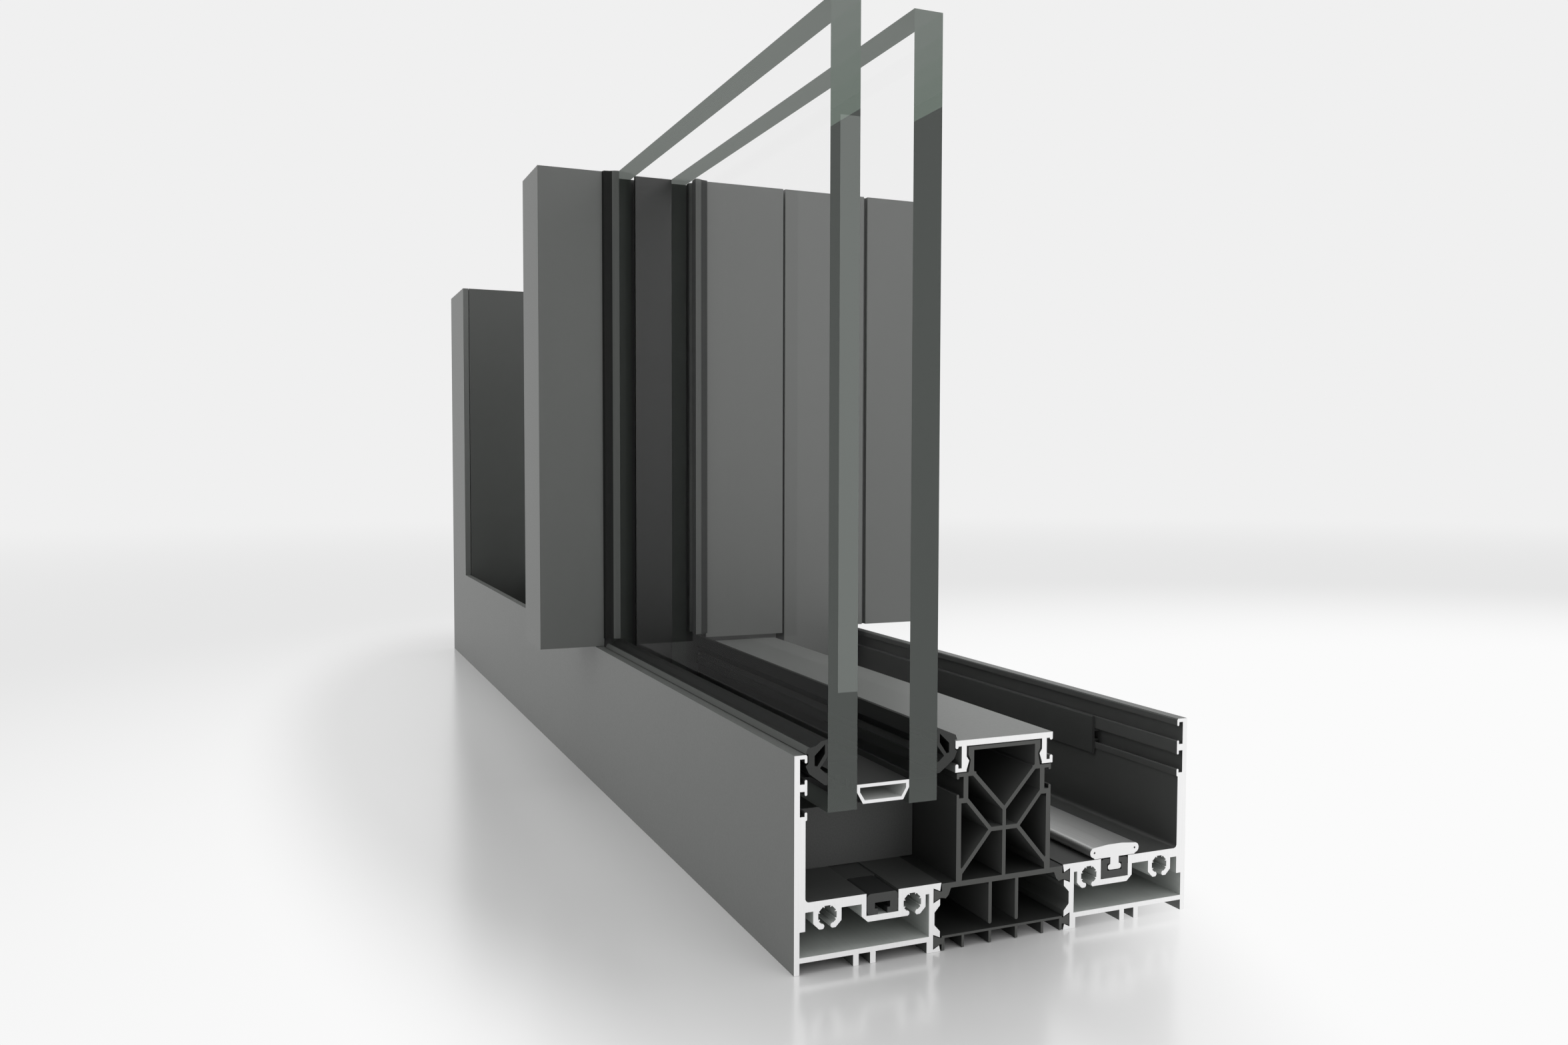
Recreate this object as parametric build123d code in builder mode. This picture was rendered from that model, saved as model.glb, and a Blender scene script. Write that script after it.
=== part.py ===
from build123d import *
from math import atan2, degrees, hypot
import os

# Sample of a two-track sliding patio door, cut off square at one end and at one height.
# The sill runs along X, the jamb stands at -X, the outside of the door is -Y, the room is +Y.
# Profiles are drawn from the outer face (local x) and from the frame's back (local y).

# Overall sizes of the sample
sample_length = 840.0
frame_depth = 172.0
frame_height = 78.0
cut_height = 340.0

# Aluminium shell of the frame
thin_wall = 2.1
leg_wall = 4.3
floor_top = 25.6
floor_thickness = 3.5
bottom_plate_z = 4.2
bottom_plate_thickness = 1.9
foot_width = 2.2
middle_feet = (24.2, 31.0)
side_wall_y = 54.0
side_wall = 2.3
side_foot_width = 3.2
corner_radius = 1.5

# Grooves at the head of each leg
top_flange = 1.4
groove_height = 8.9
groove_web = 2.6
lip_reach = 4.9
lip_wall = 0.95
lip_height = 1.5

# Screw ports and accessory pocket under the channel floor
port_depth = 10.3
port_radius = 3.1
port_tooth = 0.5
port_half_width = 5.5
port_mouth = 3.4
port_corner = 2.3
port_notch = 2.3
port_tip = 0.95
port_z = 19.9
port_one_y = 12.9
port_two_y = 47.0
pocket_middle = 34.8
pocket_width = 13.0
pocket_depth = 8.1
pocket_wall = 1.9

# Dovetail sockets of the thermal break
socket_depth = 2.8
socket_set_in = 0.5
jaw_overhang = 0.5
socket_height = 5.6
upper_socket_z = 21.1
lower_socket_z = 3.75
socket_mouth = 3.0
jaw_height = 3.5
jaw_lip = 2.3
tongue_clearance = 0.3

# Thermal break
break_top = 25.2
break_plate = 2.0
break_base_z = 4.7
break_base = 0.9
break_foot = 1.1
break_foot_pitch = 11.7
foot_lift = 0.2
stub_rib = 1.4
stub_rib_bottom = 8.0
tower_y = 65.3
tower_wall = 2.0
tower_rib = 1.5
shoulder_thickness = 1.9
neck_inset = 2.9
neck_height = 9.9
upper_shoulder_thickness = 1.4
head_inset = 4.9
head_wall = 2.4
head_plate = 1.4
head_clearance = 0.4
crossing_drop = 11.1
crossing_half_width = 5.9
fork_drop = 3.3

# Centre cover
cover_overhang = 0.7
cover_plate = 2.2
cover_drop = 0.2
cover_leg = 2.1
cover_leg_inset = 2.7
cover_height = 11.8
cover_lip = 1.3
cover_lip_height = 3.0
snap_height = 7.8
snap_reach = 1.1

# Fixed glazing
pane_thickness = 11.5
pane_gap = 21.0
glazing_middle = 34.8
glass_cover = 21.3
spacer_height = 7.1
spacer_lift = 1.7
spacer_wall = 1.2
spacer_chamfer = 2.4
spacer_edge = 2.8

# Glazing gasket, drawn from the glass face and from the head of the leg
gasket_rise = 4.8
gasket_drop = 11.4
gasket_width = 7.5
gasket_wall = 1.0
gasket_web_top = 1.3
gasket_web_foot = 5.2
gasket_arm_top = 7.2
gasket_gap = 0.1

# Track rail and its carrier
rail_half_width = 11.6
rail_crown = 31.0
rail_crown_rise = 0.7
rail_edge_radius = 2.0
rail_base_half_width = 9.5
rail_hem_slot = 0.4
rail_seat = 0.2
rail_stem = 2.0
rail_foot_half_width = 3.1
rail_foot_z = 20.8
rail_foot_thickness = 2.2
carrier_clearance = 0.3
carrier_corner = 1.1

# Short insert and the strip behind it in the outer pocket
insert_length = 18.0
insert_slot = 3.9
insert_corner = 1.5
strip_thickness = 1.6
strip_gap = 0.3

# Setting blocks under the fixed glass
block_start = 33.0
block_length = 90.0
block_side_gap = 0.3
packer_thickness = 7.7
packer_length = 60.0
packer_inset = 3.0

# Strip clipped over the inner leg's lower groove
clip_strip_start = 53.0
clip_strip_thickness = 1.3
clip_strip_overlap = 2.3

# Interlock between the fixed glass and the sliding leaf
interlock_back = 278.0
interlock_width = 41.0
interlock_proud = 31.0
interlock_wall = 2.5
interlock_rest = 0.3
interlock_pad = 2.4
interlock_glass_cover = 12.2
pocket_glass_gap = 0.8
pocket_floor_wall = 2.0
seam_gap = 5.4

# Sliding leaf
leaf_half_width = 23.6
leaf_wall = 2.2
web_clearance = 4.7
leaf_rebate = 24.0
leaf_pane = 8.0
leaf_gap = 20.0
leaf_edge_cover = 20.0
leaf_pane_seat = 4.0
leg_clearance = 5.0
leaf_proud = 31.0
leaf_seam = 2.4
leaf_seam_depth = 3.0
lock_stile_width = 40.0
lock_stile_gap = 9.0
leaf_gasket_height = 12.0
leaf_lip = 1.6
leaf_spacer_width = 7.0
leaf_spacer_inset = 3.0
soft_gap = 0.3

# Rollers of the leaf
roller_radius = 11.0
roller_width = 12.0
roller_axle = 6.0
roller_clearance = 0.3
carriage_length = 84.0
carriage_width = 34.0
carriage_height = 18.0
carriage_end = 70.0
roller_slot = 1.0
roller_slot_end = 2.0
axle_clearance = 0.1
wheel_base = 44.0

# Places that follow from the sizes above
cut_x = sample_length / 2
back_x = -sample_length / 2
outer_y = -frame_depth / 2
jamb_floor_x = back_x + floor_top
jamb_face_x = back_x + frame_height
sill_length = cut_x - jamb_floor_x
half_depth = frame_depth / 2
floor_bottom = floor_top - floor_thickness
side_wall_face = side_wall_y + side_wall
jaw_tip_y = side_wall_face - socket_set_in + socket_depth
break_edge_y = jaw_tip_y + jaw_overhang + tongue_clearance
upper_groove_top = frame_height - top_flange
upper_groove_bottom = upper_groove_top - groove_height
lower_groove_top = upper_groove_bottom - groove_web
lower_groove_bottom = lower_groove_top - groove_height
port_bottom = floor_top - port_depth
pocket_bottom = floor_top - pocket_depth
track_middle = frame_depth - pocket_middle
interlock_x = cut_x - interlock_back
interlock_rear = interlock_x - interlock_width
pane_bottom = frame_height - glass_cover
block_top = pane_bottom - packer_thickness
outer_pane_y = glazing_middle - pane_gap / 2 - pane_thickness
inner_pane_y = glazing_middle + pane_gap / 2
inner_glass_face = inner_pane_y + pane_thickness
glass_edge_x = interlock_x - interlock_glass_cover
cover_left = tower_y - cover_overhang
cover_top = frame_height - cover_drop
upper_shoulder_top = cover_top - cover_height - head_clearance
upper_shoulder_z = upper_shoulder_top - upper_shoulder_thickness
shoulder_z = upper_shoulder_z - neck_height
shoulder_top = shoulder_z + shoulder_thickness
crossing_z = shoulder_z - crossing_drop
fork_z = shoulder_z - fork_drop
leaf_near = track_middle - leaf_half_width
leaf_far = track_middle + leaf_half_width
fixed_side_end = leaf_near - seam_gap
leaf_bottom = rail_crown + leg_clearance
axle_z = rail_crown + roller_clearance + roller_radius
leaf_web_z = axle_z + roller_radius + web_clearance
leaf_rail_top = leaf_web_z + leaf_rebate
lock_stile_rear = jamb_floor_x + lock_stile_gap
leaf_proud_bottom = frame_height + leg_clearance

sill_plane = Plane(origin=(jamb_floor_x, outer_y, 0), x_dir=(0, 1, 0), z_dir=(1, 0, 0))
jamb_plane = Plane(origin=(back_x, outer_y, 0), x_dir=(0, 1, 0), z_dir=(0, 0, -1))

os.makedirs("parts", exist_ok=True)


def bar(x0, x1, y0, y1, mode=Mode.ADD):
    """A straight wall of a profile between two corners."""
    with Locations(((x0 + x1) / 2, (y0 + y1) / 2)):
        Rectangle(x1 - x0, y1 - y0, mode=mode)


def lip(x0, x1, y0, y1):
    """A thin wall with rounded ends."""
    with Locations(((x0 + x1) / 2, (y0 + y1) / 2)):
        RectangleRounded(x1 - x0, y1 - y0, 0.45 * min(x1 - x0, y1 - y0))


def rib(start, end, thickness):
    """A slanted wall of a profile along a middle line."""
    run_x, run_y = end[0] - start[0], end[1] - start[1]
    middle = ((start[0] + end[0]) / 2, (start[1] + end[1]) / 2, 0)
    with Locations(Location(middle, (0, 0, degrees(atan2(run_y, run_x))))):
        Rectangle(hypot(run_x, run_y), thickness)


def outline(*points, mode=Mode.ADD):
    """A closed polygon through the points."""
    Polygon(*points, align=None, mode=mode)


def leg_grooves():
    """Two grooves at the head of a leg: flange, tee and lower lip."""
    low, high = lip_reach - lip_wall, lip_reach
    bar(0, high - 0.3, upper_groove_top, frame_height)
    bar(0, high, lower_groove_top, upper_groove_bottom)
    lip(low, high, upper_groove_top - lip_height, frame_height - 0.2)
    lip(low, high, lower_groove_top - lip_height, upper_groove_bottom + lip_height)
    lip(low, high, lower_groove_bottom - lip_height, lower_groove_bottom + lip_height)


def screw_port(middle):
    """A screw port below the floor: a toothed bore in a C-shaped ring, open at the bottom."""
    outline(
        (middle - port_half_width, floor_bottom), (middle - port_half_width, port_bottom + port_corner),
        (middle - port_half_width + port_corner, port_bottom),
        (middle + port_half_width - port_corner, port_bottom),
        (middle + port_half_width, port_bottom + port_corner), (middle + port_half_width, floor_bottom),
    )


def screw_port_bore(middle):
    """The toothed bore and its mouth, taken out of the ring."""
    with Locations((middle, port_z)):
        Circle(port_radius, mode=Mode.SUBTRACT)
    with Locations((middle, port_z)):
        for turn in range(4):
            Rectangle(port_notch, 2 * (port_radius + port_tooth), rotation=45 * turn, mode=Mode.SUBTRACT)
    bar(middle - port_mouth / 2, middle + port_mouth / 2, port_bottom - 1, port_z, Mode.SUBTRACT)
    for side in (-1, 1):
        with Locations((middle + side * (port_mouth / 2 + port_tip / 2), port_bottom + port_tip)):
            Circle(port_tip)


def socket_jaws(level, lowest):
    """A dovetail socket in the side wall with a jaw above and below its mouth."""
    root = side_wall_y
    back = side_wall_face - socket_set_in
    tip = jaw_tip_y
    high, low = level + socket_height / 2, level - socket_height / 2
    bar(back, side_wall_face + 0.1, low, high, Mode.SUBTRACT)
    if lowest:
        outline((root, 0), (tip + 0.2, 0), (tip - 0.3, level - socket_mouth / 2), (back, low), (root, low))
        outline((root, high), (back, high), (tip, level + socket_mouth / 2),
                (tip, level + socket_mouth / 2 + jaw_lip), (side_wall_face, high + jaw_height),
                (root, high + jaw_height))
    else:
        outline((root, floor_top), (tip + jaw_overhang, floor_top), (tip, level + socket_mouth / 2),
                (back, high), (root, high))
        outline((root, low), (back, low), (tip, level - socket_mouth / 2),
                (tip, level - socket_mouth / 2 - jaw_lip), (side_wall_face, low - jaw_height),
                (root, low - jaw_height))


def shell_profile():
    """One aluminium half of the frame, leg at local x 0, drawn for the outer side."""
    bar(0, thin_wall, 0, frame_height)
    bar(0, leg_wall, port_bottom, lower_groove_bottom)
    leg_grooves()
    bar(0, side_wall_face, floor_bottom, floor_top)
    screw_port(port_one_y)
    screw_port(port_two_y)
    pocket_left, pocket_right = pocket_middle - pocket_width / 2, pocket_middle + pocket_width / 2
    outline(
        (pocket_left - pocket_wall, floor_bottom), (pocket_left - pocket_wall, port_bottom + port_corner),
        (pocket_left + 0.6, port_bottom), (port_two_y - port_mouth / 2, port_bottom),
        (port_two_y - port_mouth / 2, pocket_bottom), (pocket_right + pocket_wall, floor_bottom),
    )
    bar(side_wall_y, side_wall_face, 0, floor_top)
    bar(side_wall_face - side_foot_width, side_wall_face, 0, bottom_plate_z)
    bar(0, side_wall_face, bottom_plate_z, bottom_plate_z + bottom_plate_thickness)
    for middle in middle_feet:
        bar(middle - foot_width / 2, middle + foot_width / 2, 0, bottom_plate_z)
    socket_jaws(upper_socket_z, False)
    socket_jaws(lower_socket_z, True)
    screw_port_bore(port_one_y)
    screw_port_bore(port_two_y)
    bar(pocket_left, pocket_right, pocket_bottom, floor_top, Mode.SUBTRACT)
    bar(leg_wall, leg_wall + corner_radius, floor_top, floor_top + corner_radius)
    with Locations((leg_wall + corner_radius, floor_top + corner_radius)):
        Circle(corner_radius, mode=Mode.SUBTRACT)


def break_tongue(level):
    """Dovetail tongue of an insulating strip, reaching into the shell's socket."""
    back = side_wall_face - socket_set_in + tongue_clearance
    neck = socket_mouth / 2 - tongue_clearance
    head = socket_height / 2 - 2 * tongue_clearance
    outline((back, level - head), (back, level + head), (jaw_tip_y, level + neck),
            (break_edge_y + 1, level + neck), (break_edge_y + 1, level - neck), (jaw_tip_y, level - neck))


def lower_break_profile():
    """Left half of the lower insulating strip with its feet."""
    break_tongue(lower_socket_z)
    bar(break_edge_y, break_edge_y + 1.2, foot_lift, break_base_z + break_base)
    bar(break_edge_y, half_depth, break_base_z, break_base_z + break_base)
    for step in (0.5, 1.5):
        middle = half_depth - step * break_foot_pitch
        bar(middle - break_foot / 2, middle + break_foot / 2, foot_lift, break_base_z)


def upper_break_profile():
    """Left half of the upper insulating strip: tongue, stub rib, tower, shoulders and ribs."""
    plate_bottom = break_top - break_plate
    edge = break_edge_y
    break_tongue(upper_socket_z)
    bar(edge, half_depth, plate_bottom, break_top)
    outline((edge, upper_socket_z + 1), (edge, upper_socket_z - 1.2), (edge + 1.6, upper_socket_z - 1.6),
            (edge + 2.8, upper_socket_z - 0.4), (edge + 3.8, plate_bottom), (edge, plate_bottom))
    middle = half_depth - break_foot_pitch / 2
    bar(middle - stub_rib / 2, middle + stub_rib / 2, stub_rib_bottom, plate_bottom)
    with Locations((middle, stub_rib_bottom)):
        Circle(stub_rib / 2)
    outer = tower_y
    neck_face = tower_y + neck_inset
    head_face = tower_y + head_inset
    head_top = cover_top - cover_plate - head_clearance
    bar(outer, outer + tower_wall, break_top, shoulder_top)
    bar(outer, neck_face + tower_wall, shoulder_z, shoulder_top)
    lip(outer, outer + 1.0, shoulder_z, shoulder_top + lip_height)
    bar(neck_face, neck_face + tower_wall, shoulder_z, upper_shoulder_top)
    bar(outer, head_face + head_wall + 1, upper_shoulder_z, upper_shoulder_top)
    lip(outer, outer + 1.0, upper_shoulder_z - 0.8, upper_shoulder_top)
    outline((head_face, upper_shoulder_top - 0.5), (head_face + 1.0, upper_shoulder_top + snap_height - 3.2),
            (head_face, upper_shoulder_top + snap_height - 1.2), (head_face, head_top - 0.4),
            (head_face + 0.6, head_top), (head_face + head_wall, head_top),
            (head_face + head_wall, upper_shoulder_top - 0.5))
    bar(head_face, half_depth, head_top - head_plate, head_top)
    corner_x = head_face + head_wall
    rib((corner_x - 0.6, upper_shoulder_top), (half_depth, fork_z - 0.6), tower_rib)
    rib((neck_face + 0.8, shoulder_top), (half_depth - crossing_half_width, crossing_z), tower_rib)
    rib((half_depth - crossing_half_width, crossing_z), (outer + 1.2, break_top + 2.0), tower_rib)
    outline((outer + tower_wall - 0.2, break_top - 0.1), (outer + tower_wall - 0.2, break_top + 5),
            (outer + tower_wall + 0.8, break_top + 4.4), (outer + tower_wall + 0.4, break_top - 0.1))
    bar(half_depth - crossing_half_width - 0.4, half_depth, crossing_z - 0.8, crossing_z + 0.8)
    bar(half_depth - tower_rib / 2, half_depth, break_top - 0.1, fork_z)


def cover_half_profile():
    """Left half of the clip-on centre cover."""
    leg = cover_left + cover_leg_inset
    bottom = cover_top - cover_height
    bar(cover_left, half_depth, cover_top - cover_plate, cover_top)
    lip(cover_left, cover_left + cover_lip, cover_top - cover_lip_height, cover_top)
    bar(leg, leg + cover_leg, bottom, cover_top)
    bar(cover_left, leg + cover_leg - 0.3, bottom, bottom + 1.4)
    lip(cover_left, cover_left + cover_lip, bottom, bottom + cover_lip_height)
    snap = cover_top - snap_height
    outline((leg + cover_leg - 0.1, snap + 1.8), (leg + cover_leg + snap_reach, snap),
            (leg + cover_leg - 0.2, bottom + 0.1))


def gasket_profile():
    """Glazing gasket: local x 0 at the glass face growing away from it, y 0 at the leg's head."""
    back, rise, drop, wall = gasket_width, gasket_rise, gasket_drop, gasket_wall
    web = back / 2 - 0.85
    outline((0, rise), (0, -gasket_web_top), (web, -gasket_web_foot), (0.7, -gasket_arm_top),
            (0, -gasket_arm_top), (0, -drop), (wall, -drop), (back - 0.4, 0.4 - gasket_arm_top),
            (back + 0.9, -4.0), (back - 0.1, -3.1), (back - 0.1, 0.3), (back + 0.9, 0.3),
            (back + 0.2, rise - 2.6), (back - 2.8, rise - 2.0), (2.4, rise - 0.4))
    outline((wall, rise - 1.6), (wall, 0.4 - wall / 2), (web + wall, 0.8 - gasket_web_foot),
            (back - 2.5, 1.0 - gasket_web_foot), (back - 2.5, -0.6), mode=Mode.SUBTRACT)


def save(piece, name):
    """Label a finished piece and write it as its own file."""
    piece.part.label = name
    export_step(piece.part, f"parts/{name}.step")


# Sill
with BuildPart() as sill_outer_shell:
    with BuildSketch(sill_plane):
        shell_profile()
    extrude(amount=sill_length)
save(sill_outer_shell, "sill_outer_shell")

with BuildPart() as sill_inner_shell:
    with BuildSketch(sill_plane):
        shell_profile()
        mirror(about=Plane.YZ.offset(half_depth), mode=Mode.REPLACE)
    extrude(amount=sill_length)
save(sill_inner_shell, "sill_inner_shell")

with BuildPart() as sill_thermal_break:
    with BuildSketch(sill_plane):
        upper_break_profile()
        mirror(about=Plane.YZ.offset(half_depth))
    extrude(amount=sill_length)
save(sill_thermal_break, "sill_thermal_break")

with BuildPart() as sill_lower_break:
    with BuildSketch(sill_plane):
        lower_break_profile()
        mirror(about=Plane.YZ.offset(half_depth))
    extrude(amount=sill_length)
save(sill_lower_break, "sill_lower_break")

with BuildPart() as sill_centre_cover:
    with BuildSketch(sill_plane):
        cover_half_profile()
        mirror(about=Plane.YZ.offset(half_depth))
    extrude(amount=sill_length)
save(sill_centre_cover, "sill_centre_cover")

# Jamb: the same profiles standing on end, notched at the foot where the sill runs in
def notch_jamb():
    """Takes out what stands above the jamb's floor where the sill runs in."""
    with BuildSketch(Plane.XY) as notch:
        with Locations(((jamb_floor_x + jamb_face_x) / 2 + 1, 0)):
            Rectangle(frame_height - floor_top + 2, frame_depth + 2)
    extrude(to_extrude=notch.sketch, amount=frame_height, mode=Mode.SUBTRACT)


with BuildPart() as jamb_outer_shell:
    with BuildSketch(jamb_plane):
        shell_profile()
    extrude(amount=-cut_height)
    notch_jamb()
save(jamb_outer_shell, "jamb_outer_shell")

with BuildPart() as jamb_inner_shell:
    with BuildSketch(jamb_plane):
        shell_profile()
        mirror(about=Plane.YZ.offset(half_depth), mode=Mode.REPLACE)
    extrude(amount=-cut_height)
    notch_jamb()
save(jamb_inner_shell, "jamb_inner_shell")

with BuildPart() as jamb_thermal_break:
    with BuildSketch(jamb_plane):
        upper_break_profile()
        mirror(about=Plane.YZ.offset(half_depth))
    extrude(amount=-cut_height)
    notch_jamb()
save(jamb_thermal_break, "jamb_thermal_break")

with BuildPart() as jamb_lower_break:
    with BuildSketch(jamb_plane):
        lower_break_profile()
        mirror(about=Plane.YZ.offset(half_depth))
    extrude(amount=-cut_height)
save(jamb_lower_break, "jamb_lower_break")

with BuildPart() as jamb_centre_cover:
    with BuildSketch(jamb_plane.offset(-frame_height)):
        cover_half_profile()
        mirror(about=Plane.YZ.offset(half_depth))
    extrude(amount=frame_height - cut_height)
save(jamb_centre_cover, "jamb_centre_cover")

with BuildPart() as jamb_channel_cover:
    with BuildSketch(jamb_plane.offset(-floor_top - strip_gap)):
        bar(lip_reach + strip_gap, cover_left - strip_gap, frame_height - strip_thickness, frame_height)
        for edge in (leg_wall + corner_radius, cover_left - strip_gap - strip_thickness):
            bar(edge, edge + strip_thickness, floor_top, frame_height)
    extrude(amount=floor_top + strip_gap - cut_height)
save(jamb_channel_cover, "jamb_channel_cover")

# Insert, strip and track in the pockets of the sill
pocket_left = pocket_middle - pocket_width / 2 + carrier_clearance
pocket_right = pocket_middle + pocket_width / 2 - carrier_clearance
insert_top = floor_top - carrier_clearance

with BuildPart() as pocket_insert:
    with BuildSketch(sill_plane.offset(sill_length - insert_length)):
        with Locations((pocket_middle, (pocket_bottom + insert_top) / 2)):
            RectangleRounded(pocket_right - pocket_left, insert_top - pocket_bottom, insert_corner)
        bar(pocket_middle - rail_foot_half_width, pocket_middle + rail_foot_half_width,
            pocket_bottom + rail_foot_thickness, pocket_bottom + 2 * rail_foot_thickness, Mode.SUBTRACT)
        bar(pocket_middle - insert_slot / 2, pocket_middle + insert_slot / 2,
            pocket_bottom, pocket_bottom + 2 * rail_foot_thickness, Mode.SUBTRACT)
    extrude(amount=insert_length)
save(pocket_insert, "pocket_insert")

with BuildPart() as pocket_strip:
    with BuildSketch(sill_plane):
        bar(pocket_left, pocket_right, insert_top - strip_thickness, insert_top)
        bar(pocket_left, pocket_left + strip_thickness, pocket_bottom, insert_top)
        bar(pocket_right - strip_thickness, pocket_right, pocket_bottom, insert_top)
    extrude(amount=sill_length - insert_length - strip_gap)
save(pocket_strip, "pocket_strip")

with BuildPart() as track_carrier:
    with BuildSketch(sill_plane):
        carrier_half_width = pocket_width / 2 - carrier_clearance
        with Locations((track_middle, (pocket_bottom + insert_top) / 2)):
            RectangleRounded(2 * carrier_half_width, insert_top - pocket_bottom, carrier_corner)
        foot = rail_foot_half_width + carrier_clearance
        bar(track_middle - foot, track_middle + foot, rail_foot_z - carrier_clearance,
            rail_foot_z + rail_foot_thickness + carrier_clearance, Mode.SUBTRACT)
        bar(track_middle - rail_stem - carrier_clearance, track_middle + rail_stem + carrier_clearance,
            rail_foot_z, insert_top, Mode.SUBTRACT)
    extrude(amount=sill_length)
save(track_carrier, "track_carrier")

with BuildPart() as track_rail:
    with BuildSketch(sill_plane):
        seat = floor_top + rail_seat
        shoulder_height = rail_crown - rail_crown_rise
        shoulder = rail_half_width - rail_edge_radius
        hem_z = shoulder_height - rail_edge_radius
        outline((track_middle - shoulder, shoulder_height), (track_middle - rail_half_width, hem_z),
                (track_middle - rail_base_half_width, seat), (track_middle + rail_base_half_width, seat),
                (track_middle + rail_half_width, hem_z), (track_middle + shoulder, shoulder_height))
        for edge in (track_middle - shoulder, track_middle + shoulder):
            with Locations((edge, hem_z)):
                Circle(rail_edge_radius)
        with BuildLine():
            crown = ThreePointArc((track_middle - shoulder, shoulder_height), (track_middle, rail_crown),
                                  (track_middle + shoulder, shoulder_height))
            Line(crown @ 1, crown @ 0)
        make_face()
        for side in (-1, 1):
            with Locations((track_middle + side * shoulder, hem_z)):
                Circle(rail_hem_slot, mode=Mode.SUBTRACT)
        bar(track_middle - rail_stem, track_middle + rail_stem, rail_foot_z, seat + 0.5)
        lip(track_middle - rail_foot_half_width, track_middle + rail_foot_half_width,
            rail_foot_z, rail_foot_z + rail_foot_thickness)
    extrude(amount=sill_length)
save(track_rail, "track_rail")

with BuildPart() as inner_groove_cover:
    with BuildSketch(sill_plane):
        face = frame_depth - lip_reach
        low = lower_groove_bottom - lip_height - clip_strip_overlap
        high = upper_groove_bottom + lip_height
        groove_middle = (lower_groove_bottom + lower_groove_top) / 2
        lip(face - clip_strip_thickness, face, low, high)
        mouth = groove_height / 2 - lip_height - carrier_clearance
        bar(face - 0.1, face + lip_wall + 1.2, groove_middle - mouth, groove_middle - mouth + lip_wall)
        bar(face - 0.1, face + lip_wall + 1.2, groove_middle + mouth - lip_wall, groove_middle + mouth)
    extrude(amount=sill_length - clip_strip_start)
save(inner_groove_cover, "inner_groove_cover")

# Glazing gaskets of the sill
gasket_run = cut_x - interlock_x - gasket_rise - strip_gap
outer_gasket_plane = Plane(origin=(cut_x, outer_y + outer_pane_y - gasket_gap, frame_height),
                           x_dir=(0, -1, 0), z_dir=(-1, 0, 0))
inner_gasket_plane = Plane(origin=(cut_x, outer_y + inner_glass_face + gasket_gap, frame_height),
                           x_dir=(0, 1, 0), z_dir=(1, 0, 0))

with BuildPart() as sill_outer_gasket:
    with BuildSketch(outer_gasket_plane):
        gasket_profile()
    extrude(amount=gasket_run)
save(sill_outer_gasket, "sill_outer_gasket")

with BuildPart() as sill_inner_gasket:
    with BuildSketch(inner_gasket_plane):
        gasket_profile()
    extrude(amount=-gasket_run)
save(sill_inner_gasket, "sill_inner_gasket")

# Setting block and packer under the fixed glass
block_plane = sill_plane.offset(sill_length - block_start - block_length)

with BuildPart() as setting_block:
    with BuildSketch(block_plane):
        bar(leg_wall + block_side_gap, tower_y - block_side_gap, floor_top + corner_radius, block_top)
        bar(leg_wall + corner_radius, tower_y - block_side_gap, floor_top, block_top)
    extrude(amount=block_length)
save(setting_block, "setting_block")

with BuildPart() as glass_packer:
    with BuildSketch(block_plane.offset((block_length - packer_length) / 2)):
        bar(outer_pane_y + packer_inset, inner_glass_face - packer_inset, block_top, pane_bottom)
    extrude(amount=packer_length)
save(glass_packer, "glass_packer")

# Fixed glass
pane_length = cut_x - glass_edge_x
pane_plane = Plane(origin=(glass_edge_x, outer_y, 0), x_dir=(0, 1, 0), z_dir=(1, 0, 0))

with BuildPart() as fixed_outer_pane:
    with BuildSketch(pane_plane):
        bar(outer_pane_y, outer_pane_y + pane_thickness, pane_bottom, cut_height)
    extrude(amount=pane_length)
save(fixed_outer_pane, "fixed_outer_pane")

with BuildPart() as fixed_inner_pane:
    with BuildSketch(pane_plane):
        bar(inner_pane_y, inner_glass_face, pane_bottom, cut_height)
    extrude(amount=pane_length)
save(fixed_inner_pane, "fixed_inner_pane")


def spacer_profile(left, right, bottom, top):
    """Hollow spacer bar between two panes, with its corners cut on the edge side."""
    outline((left, top), (right, top), (right, top - spacer_edge), (right - spacer_chamfer, bottom),
            (left + spacer_chamfer, bottom), (left, top - spacer_edge))
    wall = spacer_wall
    corner = spacer_chamfer + 0.6 * wall
    outline((left + wall, top - wall), (right - wall, top - wall), (right - wall, top - spacer_edge),
            (right - corner, bottom + wall), (left + corner, bottom + wall), (left + wall, top - spacer_edge),
            mode=Mode.SUBTRACT)


spacer_left = outer_pane_y + pane_thickness
spacer_bottom = pane_bottom + spacer_lift
spacer_edge_x = glass_edge_x + spacer_lift

with BuildPart() as fixed_spacer:
    with BuildSketch(Plane(origin=(spacer_edge_x, outer_y, 0), x_dir=(0, 1, 0), z_dir=(1, 0, 0))):
        spacer_profile(spacer_left, inner_pane_y, spacer_bottom, spacer_bottom + spacer_height)
    extrude(amount=cut_x - spacer_edge_x)
    with BuildSketch(Plane(origin=(0, outer_y, spacer_bottom), x_dir=(0, 1, 0), z_dir=(0, 0, -1))):
        spacer_profile(spacer_left, inner_pane_y, spacer_edge_x, spacer_edge_x + spacer_height)
    extrude(amount=spacer_bottom - cut_height)
save(fixed_spacer, "fixed_spacer")

# Interlock
def plan_plane(height):
    """Horizontal plane whose local y starts at the frame's outer face."""
    return Plane(origin=(0, outer_y, height))


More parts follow.
